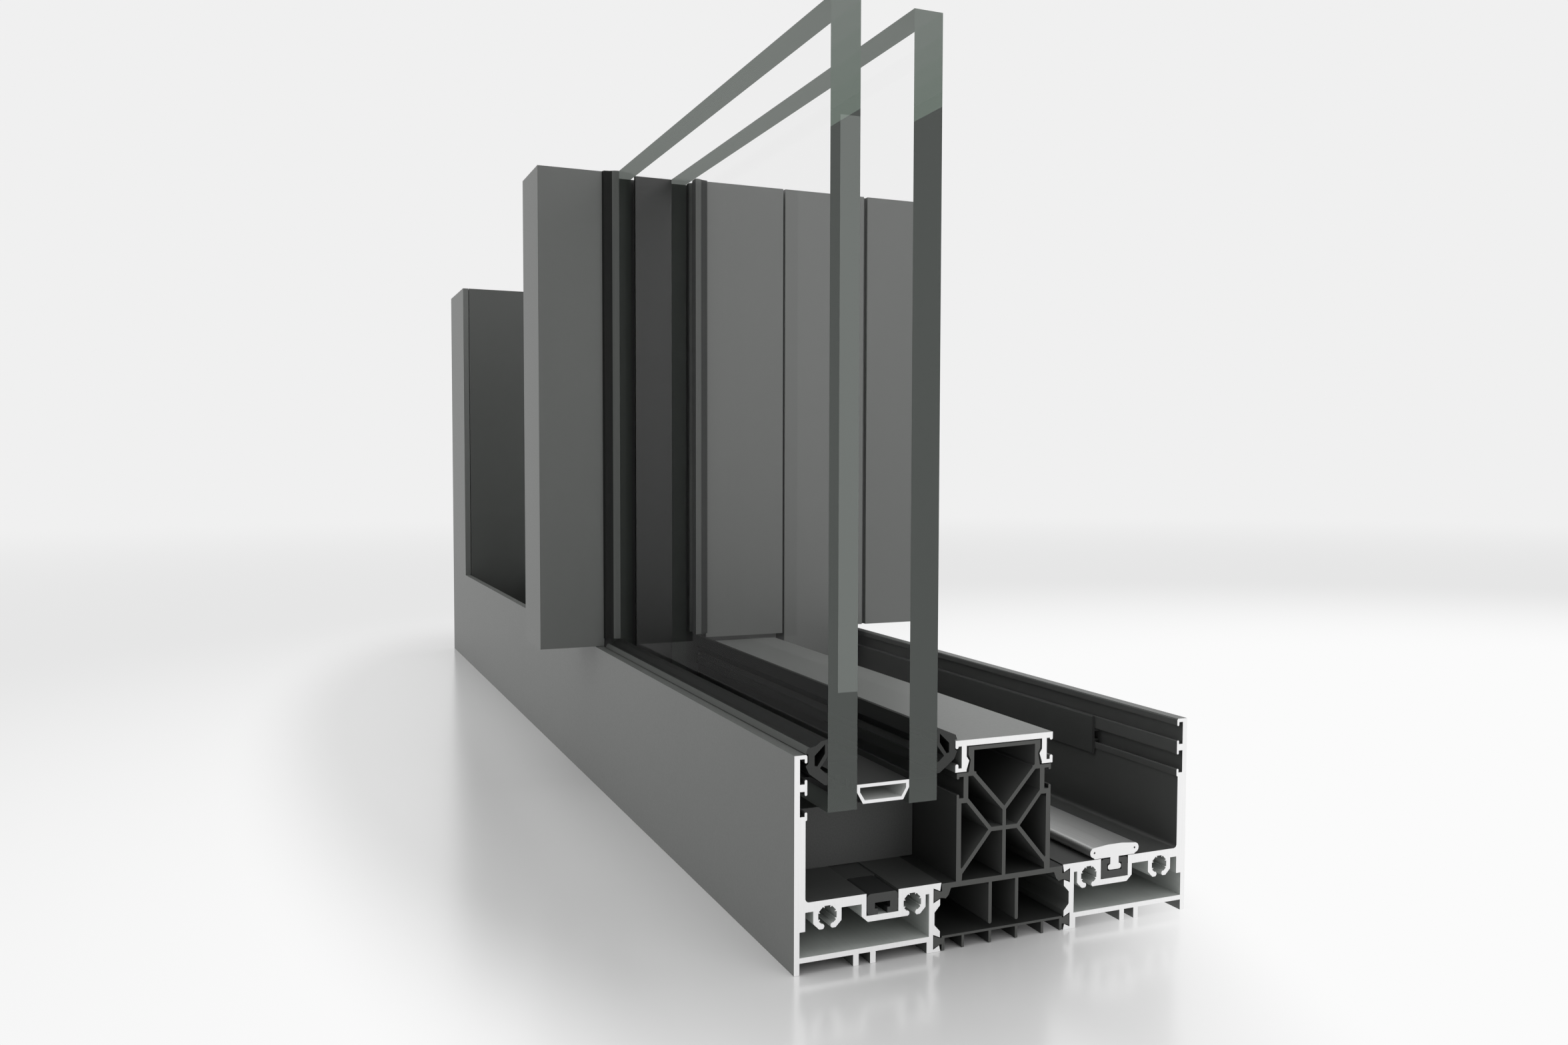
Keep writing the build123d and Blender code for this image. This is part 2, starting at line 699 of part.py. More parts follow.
interlock_plane = Plane(origin=(interlock_x - frame_height, outer_y, frame_height + interlock_rest),
                        x_dir=(0, 1, 0), z_dir=(0, 0, -1))
with BuildPart() as interlock_outer_profile:
    with BuildSketch(interlock_plane):
        rear = frame_height - interlock_width
        bar(-interlock_proud, thin_wall, rear, frame_height)
        bar(thin_wall, leg_wall, rear, lower_groove_bottom)
        leg_grooves()
        bar(interlock_wall - interlock_proud, thin_wall - interlock_wall,
            rear + interlock_wall, frame_height - interlock_wall, Mode.SUBTRACT)
    extrude(amount=frame_height + interlock_rest - cut_height)
save(interlock_outer_profile, "interlock_outer_profile")

pocket_face_x = glass_edge_x - pocket_glass_gap
with BuildPart() as interlock_pocket:
    with BuildSketch(plan_plane(floor_top)):
        near, far = leg_wall + corner_radius, cover_left - strip_gap
        bar(interlock_rear, pocket_face_x, near, far)
        bar(interlock_rear + pocket_floor_wall, pocket_face_x - pocket_floor_wall,
            near + pocket_floor_wall, glazing_middle - pocket_floor_wall / 2, Mode.SUBTRACT)
        bar(interlock_rear + pocket_floor_wall, pocket_face_x - pocket_floor_wall,
            glazing_middle + pocket_floor_wall / 2, far - pocket_floor_wall, Mode.SUBTRACT)
    extrude(amount=cut_height - floor_top)
save(interlock_pocket, "interlock_pocket")

cover_leg_face = cover_left + cover_leg_inset
with BuildPart() as interlock_base_pad:
    with BuildSketch(plan_plane(cover_top)):
        bar(interlock_rear, interlock_x, cover_left, fixed_side_end)
    extrude(amount=interlock_pad)
save(interlock_base_pad, "interlock_base_pad")

with BuildPart() as interlock_inner_profile:
    with BuildSketch(plan_plane(cover_top + interlock_pad)):
        bar(interlock_rear, interlock_x, cover_leg_face, fixed_side_end)
        bar(interlock_rear + interlock_wall, interlock_x - interlock_wall,
            cover_leg_face + interlock_wall, fixed_side_end - interlock_wall, Mode.SUBTRACT)
        bar(interlock_x - cover_plate, interlock_x, cover_left, cover_leg_face)
        bar(interlock_x - cover_height, interlock_x - cover_height + cover_lip, cover_left, cover_leg_face)
        lip(interlock_x - cover_lip_height, interlock_x, cover_left, cover_left + cover_lip)
        lip(interlock_x - cover_height, interlock_x - cover_height + cover_lip_height,
            cover_left, cover_left + cover_lip)
    extrude(amount=cut_height - cover_top - interlock_pad)
save(interlock_inner_profile, "interlock_inner_profile")

interlock_gasket_foot = frame_height + gasket_rise
with BuildPart() as interlock_outer_gasket:
    outer_gasket_origin = (interlock_x, outer_y + outer_pane_y - gasket_gap, interlock_gasket_foot)
    with BuildSketch(Plane(origin=outer_gasket_origin, x_dir=(0, -1, 0), z_dir=(0, 0, 1))):
        gasket_profile()
    extrude(amount=cut_height - interlock_gasket_foot)
save(interlock_outer_gasket, "interlock_outer_gasket")

with BuildPart() as interlock_inner_gasket:
    inner_gasket_origin = (interlock_x, outer_y + inner_glass_face + gasket_gap, interlock_gasket_foot)
    with BuildSketch(Plane(origin=inner_gasket_origin, x_dir=(0, 1, 0), z_dir=(0, 0, -1))):
        gasket_profile()
    extrude(amount=interlock_gasket_foot - cut_height)
save(interlock_inner_gasket, "interlock_inner_gasket")

# Sliding leaf
rail_start = lock_stile_rear + lock_stile_width
rail_end = interlock_rear
leaf_rail_plane = Plane(origin=(rail_start, outer_y, 0), x_dir=(0, 1, 0), z_dir=(1, 0, 0))

with BuildPart() as leaf_bottom_rail:
    with BuildSketch(leaf_rail_plane):
        bar(leaf_near, leaf_near + leaf_wall, leaf_bottom, leaf_rail_top)
        bar(leaf_far - leaf_wall, leaf_far, leaf_bottom, leaf_rail_top)
        bar(leaf_near, leaf_far, leaf_web_z, leaf_web_z + leaf_wall)
        bar(leaf_near, leaf_near + leaf_wall + leaf_lip, leaf_rail_top - leaf_wall, leaf_rail_top)
        bar(leaf_far - leaf_wall - leaf_lip, leaf_far, leaf_rail_top - leaf_wall, leaf_rail_top)
    extrude(amount=rail_end - rail_start)
save(leaf_bottom_rail, "leaf_bottom_rail")


def stile_profile(closed_x, open_x):
    """A stile in plan: closed wall at one side, glass pocket open at the other."""
    low, high = min(closed_x, open_x), max(closed_x, open_x)
    towards = 1 if open_x > closed_x else -1
    bar(low, high, leaf_near, leaf_far)
    web = closed_x + towards * (lock_stile_width - leaf_edge_cover)
    core = sorted((closed_x + towards * leaf_wall, web - towards * leaf_wall))
    bar(core[0], core[1], leaf_near + leaf_wall, leaf_far - leaf_wall, Mode.SUBTRACT)
    pocket = sorted((web, open_x))
    bar(pocket[0], pocket[1], leaf_near + leaf_wall, leaf_far - leaf_wall, Mode.SUBTRACT)
    mouth = sorted((open_x, open_x - towards * leaf_wall))
    bar(mouth[0], mouth[1], leaf_near, leaf_near + leaf_wall + leaf_lip)
    bar(mouth[0], mouth[1], leaf_far - leaf_wall - leaf_lip, leaf_far)


with BuildPart() as leaf_meeting_stile:
    with BuildSketch(plan_plane(leaf_bottom)):
        stile_profile(interlock_x, interlock_rear)
    extrude(amount=cut_height - leaf_bottom)
save(leaf_meeting_stile, "leaf_meeting_stile")

with BuildPart() as leaf_lock_stile:
    with BuildSketch(plan_plane(leaf_bottom)):
        stile_profile(lock_stile_rear, rail_start)
    extrude(amount=cut_height - leaf_bottom)
save(leaf_lock_stile, "leaf_lock_stile")

with BuildPart() as leaf_proud_profile:
    with BuildSketch(plan_plane(leaf_proud_bottom)):
        proud_end = frame_depth + leaf_proud
        seam = frame_depth - lip_reach - leaf_seam
        bar(interlock_rear, interlock_x, leaf_far, proud_end)
        bar(interlock_rear + leaf_wall, interlock_x - leaf_wall - leaf_seam_depth,
            leaf_far + leaf_wall, proud_end - leaf_wall, Mode.SUBTRACT)
        bar(interlock_x - leaf_wall - leaf_seam_depth, interlock_x - leaf_wall,
            seam + leaf_seam + leaf_wall, proud_end - leaf_wall, Mode.SUBTRACT)
        bar(interlock_x - leaf_seam_depth, interlock_x, seam, seam + leaf_seam, Mode.SUBTRACT)
    extrude(amount=cut_height - leaf_proud_bottom)
save(leaf_proud_profile, "leaf_proud_profile")

# Glass of the leaf
leaf_glass_bottom = leaf_web_z + leaf_wall + leaf_pane_seat
leaf_glass_left = rail_start - leaf_edge_cover + leaf_pane_seat
leaf_glass_right = interlock_rear + leaf_edge_cover - leaf_pane_seat
leaf_outer_y = track_middle - leaf_gap / 2 - leaf_pane
leaf_inner_y = track_middle + leaf_gap / 2
leaf_glass_plane = Plane(origin=(leaf_glass_left, outer_y, 0), x_dir=(0, 1, 0), z_dir=(1, 0, 0))

with BuildPart() as leaf_outer_pane:
    with BuildSketch(leaf_glass_plane):
        bar(leaf_outer_y, leaf_outer_y + leaf_pane, leaf_glass_bottom, cut_height)
    extrude(amount=leaf_glass_right - leaf_glass_left)
save(leaf_outer_pane, "leaf_outer_pane")

with BuildPart() as leaf_inner_pane:
    with BuildSketch(leaf_glass_plane):
        bar(leaf_inner_y, leaf_inner_y + leaf_pane, leaf_glass_bottom, cut_height)
    extrude(amount=leaf_glass_right - leaf_glass_left)
save(leaf_inner_pane, "leaf_inner_pane")


def edge_frame(inset, width, near, far, bottom):
    """Three bars joined round the leaf's glass: one along the bottom and one up each side."""
    with BuildSketch(Plane(origin=(0, outer_y + near, 0), x_dir=(1, 0, 0), z_dir=(0, -1, 0))) as frame_face:
        left, right = leaf_glass_left + inset, leaf_glass_right - inset
        bar(left, right, bottom, cut_height)
        bar(left + width, right - width, bottom + width, cut_height, Mode.SUBTRACT)
    extrude(to_extrude=frame_face.sketch, amount=near - far)


with BuildPart() as leaf_spacer:
    edge_frame(leaf_spacer_inset, leaf_spacer_width, track_middle - leaf_gap / 2,
               track_middle + leaf_gap / 2, leaf_glass_bottom + leaf_spacer_inset)
save(leaf_spacer, "leaf_spacer")

gasket_inset = leaf_edge_cover - leaf_pane_seat - leaf_gasket_height + leaf_wall
gasket_bottom = leaf_rail_top - leaf_gasket_height + leaf_wall
with BuildPart() as leaf_outer_gasket:
    edge_frame(gasket_inset, leaf_gasket_height, leaf_near + leaf_wall + leaf_lip + soft_gap,
               leaf_outer_y, gasket_bottom)
save(leaf_outer_gasket, "leaf_outer_gasket")

with BuildPart() as leaf_inner_gasket:
    edge_frame(gasket_inset, leaf_gasket_height, leaf_inner_y + leaf_pane,
               leaf_far - leaf_wall - leaf_lip - soft_gap, gasket_bottom)
save(leaf_inner_gasket, "leaf_inner_gasket")

# Roller carriages under the leaf's bottom rail


def axle_plane(x):
    """Upright plane through the middle of the track, centred on an axle."""
    return Plane(origin=(x, outer_y + track_middle, axle_z), x_dir=(1, 0, 0), z_dir=(0, -1, 0))


def carriage(middle_x):
    """Housing screwed under the rail's web, with a slot for each roller."""
    with BuildSketch(plan_plane(leaf_web_z)) as housing:
        bar(middle_x - carriage_length / 2, middle_x + carriage_length / 2,
            track_middle - carriage_width / 2, track_middle + carriage_width / 2)
        for side in (-1, 1):
            axle_x = middle_x + side * wheel_base / 2
            reach = roller_radius + roller_slot_end
            bar(axle_x - reach, axle_x + reach, track_middle - roller_width / 2 - roller_slot,
                track_middle + roller_width / 2 + roller_slot, Mode.SUBTRACT)
    extrude(to_extrude=housing.sketch, amount=-carriage_height)
    for side in (-1, 1):
        with BuildSketch(axle_plane(middle_x + side * wheel_base / 2)) as bore:
            Circle(roller_axle / 2 + axle_clearance)
        extrude(to_extrude=bore.sketch, amount=carriage_width, both=True, mode=Mode.SUBTRACT)


def rollers(middle_x):
    """Two grooved rollers with their axles."""
    for side in (-1, 1):
        for radius, width in ((roller_radius, roller_width), (roller_axle / 2, carriage_width)):
            with BuildSketch(axle_plane(middle_x + side * wheel_base / 2)) as disc:
                Circle(radius)
            extrude(to_extrude=disc.sketch, amount=width / 2, both=True)


front_carriage_x = rail_end - carriage_end
rear_carriage_x = rail_start + carriage_end

with BuildPart() as front_roller_carriage:
    carriage(front_carriage_x)
save(front_roller_carriage, "front_roller_carriage")

with BuildPart() as rear_roller_carriage:
    carriage(rear_carriage_x)
save(rear_roller_carriage, "rear_roller_carriage")

with BuildPart() as front_rollers:
    rollers(front_carriage_x)
save(front_rollers, "front_rollers")

with BuildPart() as rear_rollers:
    rollers(rear_carriage_x)
save(rear_rollers, "rear_rollers")
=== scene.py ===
"""Looks of the sliding door sample: its frame, glass, seals and fixings, and the studio."""
import logging
import math
from dataclasses import dataclass
from enum import Enum
from typing import Protocol

import bpy
import numpy as np
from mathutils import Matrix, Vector


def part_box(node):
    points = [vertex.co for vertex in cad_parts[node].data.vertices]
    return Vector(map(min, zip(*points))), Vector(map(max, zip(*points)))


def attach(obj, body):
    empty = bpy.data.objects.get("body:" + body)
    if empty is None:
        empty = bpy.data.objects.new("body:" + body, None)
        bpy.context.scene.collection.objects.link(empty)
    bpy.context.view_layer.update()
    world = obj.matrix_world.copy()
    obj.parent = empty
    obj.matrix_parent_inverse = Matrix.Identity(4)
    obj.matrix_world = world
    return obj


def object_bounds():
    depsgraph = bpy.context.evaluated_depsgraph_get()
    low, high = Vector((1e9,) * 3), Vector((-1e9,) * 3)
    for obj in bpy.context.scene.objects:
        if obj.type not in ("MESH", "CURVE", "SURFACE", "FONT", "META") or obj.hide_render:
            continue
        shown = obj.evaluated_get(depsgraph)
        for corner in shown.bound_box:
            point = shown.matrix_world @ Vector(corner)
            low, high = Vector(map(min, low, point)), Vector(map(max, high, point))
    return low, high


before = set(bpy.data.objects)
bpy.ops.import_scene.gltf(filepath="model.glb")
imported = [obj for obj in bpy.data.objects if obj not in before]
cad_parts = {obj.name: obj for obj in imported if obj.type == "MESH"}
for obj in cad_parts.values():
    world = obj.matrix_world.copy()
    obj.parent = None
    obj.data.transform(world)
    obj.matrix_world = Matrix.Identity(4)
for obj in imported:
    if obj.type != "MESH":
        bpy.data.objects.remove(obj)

log = logging.getLogger("patio_door")
logging.basicConfig(level=logging.INFO, format="%(message)s")

MM = 0.001
CAD_BOX = [[float(v) for v in corner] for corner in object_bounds()]
PHOTO_WIDTH = 2352
SENSOR_WIDTH = 36.0

# The Mix node's sockets by number, because their names repeat
VALUE_LOW, VALUE_HIGH, VALUE_OUT = 2, 3, 0
COLOUR_LOW, COLOUR_HIGH, COLOUR_OUT = 6, 7, 2

Colour = tuple[float, float, float, float]
Point = tuple[float, float, float]
Tree = bpy.types.NodeTree
Socket = bpy.types.NodeSocket


class Ends(Enum):
    """Which sawn ends a profile has."""

    NONE = "none"
    CUT_END = "cut end"
    CUT_TOP = "cut top"
    BOTH = "both"


class Along(Enum):
    """Which way a profile was drawn through its die."""

    SILL = (1.0, 0.0, 0.0)
    UPRIGHT = (0.0, 0.0, 1.0)


class Finish(Protocol):
    """What every finish has: its name, and the method that builds its material."""

    name: str

    def build(self) -> bpy.types.Material:
        """Builds the node material."""


def linear(hex_colour: str) -> Colour:
    """Turns an sRGB hex colour into the linear colour that a shader takes.

    Args:
        hex_colour: six hex digits with a leading hash.

    Returns:
        Linear red, green and blue, and a full alpha.
    """
    parts = [int(hex_colour[i:i + 2], 16) / 255 for i in (1, 3, 5)]
    values = [v / 12.92 if v <= 0.04045 else ((v + 0.055) / 1.055) ** 2.4 for v in parts]
    return (values[0], values[1], values[2], 1.0)


def shade(hex_colour: str, factor: float) -> Colour:
    """Makes a colour darker or paler.

    Args:
        hex_colour: six hex digits with a leading hash.
        factor: what its linear values are multiplied by, under 1 for darker and over 1 for paler.

    Returns:
        The linear colour.
    """
    red, green, blue, alpha = linear(hex_colour)
    return (red * factor, green * factor, blue * factor, alpha)


def add(tree: Tree, kind: str, settings: dict | None = None, links: dict | None = None) -> bpy.types.Node:
    """Adds one shader node.

    Args:
        tree: the material's node tree.
        kind: the node type's name after "ShaderNode".
        settings: attributes, or input sockets by name or number, with their values.
        links: input sockets by name or number, with the output sockets that feed them.

    Returns:
        The new node.
    """
    node = tree.nodes.new("ShaderNode" + kind)
    for key, value in (settings or {}).items():
        if isinstance(key, str) and hasattr(node, key):
            setattr(node, key, value)
        else:
            node.inputs[key].default_value = value
    for key, source in (links or {}).items():
        tree.links.new(source, node.inputs[key])
    return node


def new_material(name: str) -> tuple[bpy.types.Material, Tree]:
    """Starts an empty node material.

    Args:
        name: the material's name.

    Returns:
        The material and its node tree.
    """
    material = bpy.data.materials.new(name)
    material.use_nodes = True
    material.node_tree.nodes.clear()
    return material, material.node_tree


def low_corner(node: str) -> Vector:
    """Lowest corner of the box round a CAD node, in metres."""
    return Vector(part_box(node)[0])


def high_corner(node: str) -> Vector:
    """Highest corner of the box round a CAD node, in metres."""
    return Vector(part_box(node)[1])


# A sawn face lies within CUT_DEPTH of the cut's level, and its normal's cosine with it is over SQUARE_ON
CUT_X = high_corner("sill_outer_shell").x
CUT_Z = high_corner("jamb_outer_shell").z
CUT_DEPTH = 0.4 * MM
SQUARE_ON = 0.9


def either(tree: Tree, masks: list[Socket]) -> Socket | None:
    """Joins some masks into one that is 1 where any of them is: the greatest of their values.

    Args:
        tree: the material's node tree.
        masks: value sockets of 0 and 1.

    Returns:
        A value socket, or None where there are no masks.
    """
    while len(masks) > 1:
        first, second = masks.pop(), masks.pop()
        masks.append(add(tree, "Math", {"operation": "MAXIMUM"}, {0: first, 1: second}).outputs[0])
    return masks[0] if masks else None


def sawn_mask(tree: Tree, ends: Ends) -> Socket | None:
    """Builds the mask of a piece's sawn faces: 1 where the face looks along the cut and lies on it.

    Args:
        tree: the material's node tree.
        ends: which sawn ends the piece has.

    Returns:
        A value socket, or None where nothing is sawn.
    """
    if ends is Ends.NONE:
        return None
    coord = add(tree, "TexCoord")
    place = add(tree, "SeparateXYZ", links={0: coord.outputs["Object"]})
    normal = add(tree, "SeparateXYZ", links={0: coord.outputs["Normal"]})
    masks = []
    for wanted, axis, level in ((Ends.CUT_END, "X", CUT_X), (Ends.CUT_TOP, "Z", CUT_Z)):
        if ends in (wanted, Ends.BOTH):
            facing = add(tree, "Math", {"operation": "GREATER_THAN", 1: SQUARE_ON},
                         {0: normal.outputs[axis]})
            there = add(tree, "Math", {"operation": "GREATER_THAN", 1: level - CUT_DEPTH},
                        {0: place.outputs[axis]})
            both = add(tree, "Math", {"operation": "MULTIPLY"},
                       {0: facing.outputs[0], 1: there.outputs[0]})
            masks.append(both.outputs[0])
    return either(tree, masks)


def mottled(tree: Tree, pattern: Socket, hex_colour: str, factor: float) -> Socket:
    """Lets a pattern turn a colour into a darker or paler shade of itself.

    Args:
        tree: the material's node tree.
        pattern: the share of the shade, from 0 to 1.
        hex_colour: the colour where the pattern is 0.
        factor: what the colour is multiplied by where the pattern is 1.

    Returns:
        A colour socket.
    """
    mix = add(tree, "Mix", {"data_type": "RGBA", COLOUR_LOW: linear(hex_colour),
                            COLOUR_HIGH: shade(hex_colour, factor)}, {"Factor": pattern})
    return mix.outputs[COLOUR_OUT]


def stretched(tree: Tree, along: Along, length: float) -> Socket:
    """Object coordinates drawn out along a profile, for lines that run with the extrusion.

    Args:
        tree: the material's node tree.
        along: the way the profile was drawn.
        length: how many times longer than wide a mark is.

    Returns:
        A vector socket.
    """
    coord = add(tree, "TexCoord")
    scale = tuple(1.0 / length if v else 1.0 for v in along.value)
    return add(tree, "Mapping", {"Scale": scale}, {"Vector": coord.outputs["Object"]}).outputs[0]


@dataclass(frozen=True)
class Region:
    """A box in the object's own coordinates, in metres, where a finish changes."""

    low: Point
    high: Point

    def mask(self, tree: Tree) -> Socket:
        """Builds the value that is 1 inside the box and 0 outside: six comparisons multiplied.

        Args:
            tree: the material's node tree.

        Returns:
            A value socket.
        """
        place = add(tree, "SeparateXYZ", links={0: add(tree, "TexCoord").outputs["Object"]})
        inside = None
        for axis, low, high in zip("XYZ", self.low, self.high):
            for operation, level in (("GREATER_THAN", low), ("LESS_THAN", high)):
                test = add(tree, "Math", {"operation": operation, 1: level},
                           {0: place.outputs[axis]}).outputs[0]
                if inside is not None:
                    test = add(tree, "Math", {"operation": "MULTIPLY"}, {0: inside, 1: test}).outputs[0]
                inside = test
        return inside


def any_of(tree: Tree, regions: tuple[Region, ...]) -> Socket | None:
    """Joins the masks of some regions.

    Args:
        tree: the material's node tree.
        regions: the boxes.

    Returns:
        A value socket that is 1 inside any of them, or None where there are none.
    """
    return either(tree, [region.mask(tree) for region in regions])


@dataclass(frozen=True)
class CoatedAluminium:
    """Extruded aluminium, powder coated in satin grey and sawn bright at its ends.

    The coat gives a soft, slightly pebbled sheen with no metal in it. A darker coat colour is painted inside
    each channel, as painted shade where shade falls in the hollows, and in a thin strip at the sill's end
    against the jamb, as a dark joint line. The coat doesn't reach the closed chambers, which stay mill
    bright and dull. Where the saw went through, the bare metal is pale, with fine straight marks. The pebble
    and the saw's marks are finer on the real thing, and drawn as coarse as they need to be to show.
    """

    name: str
    ends: Ends
    coat: str = "#575957"
    # Colour of the painted shade inside each channel, and of the dark joint line at the sill's end
    shade_and_joint: str = "#434443"
    mill: str = "#b9bdba"
    bare: str = "#fafafa"
    shade_and_joint_regions: tuple[Region, ...] = ()
    chambers: tuple[Region, ...] = ()
    coat_roughness: float = 0.42
    roughness_below: float = 0.04
    roughness_above: float = 0.05
    bare_roughness: float = 0.4
    pebble: float = 0.9 * MM
    pebble_height: float = 0.012 * MM
    pebble_strength: float = 0.35
    cloud: float = 60 * MM
    cloud_shade: float = 0.92
    saw_pitch: float = 0.7 * MM
    saw_stretch: float = 40.0
    saw_shade: float = 0.93
    drawn_stretch: float = 200.0
    drawn_shade: float = 0.85

    def build(self) -> bpy.types.Material:
        """Builds the node material.

        Returns:
            The finished material.
        """
        material, tree = new_material(self.name)
        place = add(tree, "TexCoord").outputs["Object"]
        clouds = add(tree, "TexNoise", {"Scale": 1 / self.cloud, "Detail": 3.0}, {"Vector": place})
        grain = add(tree, "TexNoise", {"Scale": 1 / self.pebble, "Detail": 2.0}, {"Vector": place})
        colour = mottled(tree, clouds.outputs["Fac"], self.coat, self.cloud_shade)
        rough = add(tree, "MapRange", {"To Min": self.coat_roughness - self.roughness_below,
                                       "To Max": self.coat_roughness + self.roughness_above},
                    {"Value": grain.outputs["Fac"]}).outputs[0]
        # Painted shade: the darker colour laid over the coat inside each channel, and the dark joint line at
        # the sill's end
        channel = any_of(tree, self.shade_and_joint_regions)
        if channel is not None:
            colour = add(tree, "Mix", {"data_type": "RGBA", COLOUR_HIGH: linear(self.shade_and_joint)},
                         {"Factor": channel, COLOUR_LOW: colour}).outputs[COLOUR_OUT]
        chamber = any_of(tree, self.chambers)
        if chamber is not None:
            drawn = add(tree, "TexNoise", {"Scale": 1 / self.saw_pitch, "Detail": 2.0},
                        {"Vector": stretched(tree, Along.SILL, self.drawn_stretch)})
            mill = mottled(tree, drawn.outputs["Fac"], self.mill, self.drawn_shade)
            colour = add(tree, "Mix", {"data_type": "RGBA"},
                         {"Factor": chamber, COLOUR_LOW: colour, COLOUR_HIGH: mill}).outputs[COLOUR_OUT]
        mask = sawn_mask(tree, self.ends)
        if mask is not None:
            saw = add(tree, "TexNoise", {"Scale": 1 / self.saw_pitch, "Detail": 1.0},
                      {"Vector": stretched(tree, Along.UPRIGHT, self.saw_stretch)})
            bare = mottled(tree, saw.outputs["Fac"], self.bare, self.saw_shade)
            colour = add(tree, "Mix", {"data_type": "RGBA"},
                         {"Factor": mask, COLOUR_LOW: colour, COLOUR_HIGH: bare}).outputs[COLOUR_OUT]
            rough = add(tree, "Mix", {"data_type": "FLOAT", VALUE_HIGH: self.bare_roughness},
                        {"Factor": mask, VALUE_LOW: rough}).outputs[VALUE_OUT]
        bump = add(tree, "Bump", {"Strength": self.pebble_strength, "Distance": self.pebble_height},
                   {"Height": grain.outputs["Fac"]})
        shader = add(tree, "BsdfPrincipled", {},
                     {"Base Color": colour, "Roughness": rough, "Normal": bump.outputs[0]})
        add(tree, "OutputMaterial", links={"Surface": shader.outputs[0]})
        return material


@dataclass(frozen=True)
class BareAluminium:
    """Satin anodised aluminium with lines drawn along it by the die, and pale where it was sawn.

    It gives a broad metal sheen that runs with the profile. Real die lines are finer than these, which
    are as coarse as they need to be to show.
    """

    name: str
    along: Along
    ends: Ends = Ends.NONE
    metal: str = "#b4b5b6"
    sawn: str = "#f4f4f4"
    roughness: float = 0.3
    roughness_below: float = 0.07
    roughness_above: float = 0.1
    metallic: float = 1.0
    sawn_metallic: float = 0.0
    line_pitch: float = 0.8 * MM
    line_stretch: float = 300.0
    line_shade: float = 0.78
    line_strength: float = 0.2
    line_height: float = 0.01 * MM

    def build(self) -> bpy.types.Material:
        """Builds the node material.

        Returns:
            The finished material.
        """
        material, tree = new_material(self.name)
        lines = add(tree, "TexNoise", {"Scale": 1 / self.line_pitch, "Detail": 3.0},
                    {"Vector": stretched(tree, self.along, self.line_stretch)}).outputs["Fac"]
        colour = mottled(tree, lines, self.metal, self.line_shade)
        rough = add(tree, "MapRange", {"To Min": self.roughness - self.roughness_below,
                                       "To Max": self.roughness + self.roughness_above},
                    {"Value": lines})
        bump = add(tree, "Bump", {"Strength": self.line_strength, "Distance": self.line_height},
                   {"Height": lines})
        shader = add(tree, "BsdfPrincipled", {"Metallic": self.metallic},
                     {"Roughness": rough.outputs[0], "Normal": bump.outputs[0]})
        mask = sawn_mask(tree, self.ends)
        if mask is not None:
            colour = add(tree, "Mix", {"data_type": "RGBA", COLOUR_HIGH: linear(self.sawn)},
                         {"Factor": mask, COLOUR_LOW: colour}).outputs[COLOUR_OUT]
            metallic = add(tree, "Mix", {"data_type": "FLOAT", VALUE_LOW: self.metallic,
                                         VALUE_HIGH: self.sawn_metallic}, {"Factor": mask})
            tree.links.new(metallic.outputs[VALUE_OUT], shader.inputs["Metallic"])
        tree.links.new(colour, shader.inputs["Base Color"])
        add(tree, "OutputMaterial", links={"Surface": shader.outputs[0]})
        return material


@dataclass(frozen=True)
class LacqueredSpacer:
    """Roll-formed aluminium spacer bar: black lacquer outside, bare metal in its hollow and at its ends.

    The lacquer gives a dark satin line under the glass, with specks finer on the real bar than here.
    """

    name: str
    ends: Ends
    middle: Point
    level: float
    lacquer: str = "#161716"
    inside: str = "#c4c6c4"
    sawn: str = "#f2f2f2"
    roughness: float = 0.4
    speck: float = 0.5 * MM
    speck_shade: float = 1.3
    speck_strength: float = 0.2
    speck_height: float = 0.01 * MM

    def build(self) -> bpy.types.Material:
        """Builds the node material: a wall whose normal points to the bar's middle is an inner wall.

        Returns:
            The finished material.
        """
        material, tree = new_material(self.name)
        coord = add(tree, "TexCoord")
        away = add(tree, "VectorMath", {"operation": "SUBTRACT", 1: self.middle},
                   {0: coord.outputs["Object"]})
        across = add(tree, "VectorMath", {"operation": "MULTIPLY", 1: (0.0, 1.0, 1.0)},
                     {0: away.outputs[0]})
        dot = add(tree, "VectorMath", {"operation": "DOT_PRODUCT"},
                  {0: across.outputs[0], 1: coord.outputs["Normal"]})
        inward = add(tree, "Math", {"operation": "LESS_THAN", 1: 0.0}, {0: dot.outputs["Value"]})
        place = add(tree, "SeparateXYZ", links={0: coord.outputs["Object"]})
        lying = add(tree, "Math", {"operation": "LESS_THAN", 1: self.level}, {0: place.outputs["Z"]})
        hollow = add(tree, "Math", {"operation": "MULTIPLY"}, {0: inward.outputs[0], 1: lying.outputs[0]})
        specks = add(tree, "TexNoise", {"Scale": 1 / self.speck, "Detail": 2.0},
                     {"Vector": coord.outputs["Object"]}).outputs["Fac"]
        colour = mottled(tree, specks, self.lacquer, self.speck_shade)
        for mask, bare in ((hollow.outputs[0], self.inside), (sawn_mask(tree, self.ends), self.sawn)):
            colour = add(tree, "Mix", {"data_type": "RGBA", COLOUR_HIGH: linear(bare)},
                         {"Factor": mask, COLOUR_LOW: colour}).outputs[COLOUR_OUT]
        bump = add(tree, "Bump", {"Strength": self.speck_strength, "Distance": self.speck_height},
                   {"Height": specks})
        shader = add(tree, "BsdfPrincipled", {"Roughness": self.roughness},
                     {"Base Color": colour, "Normal": bump.outputs[0]})
        add(tree, "OutputMaterial", links={"Surface": shader.outputs[0]})
        return material


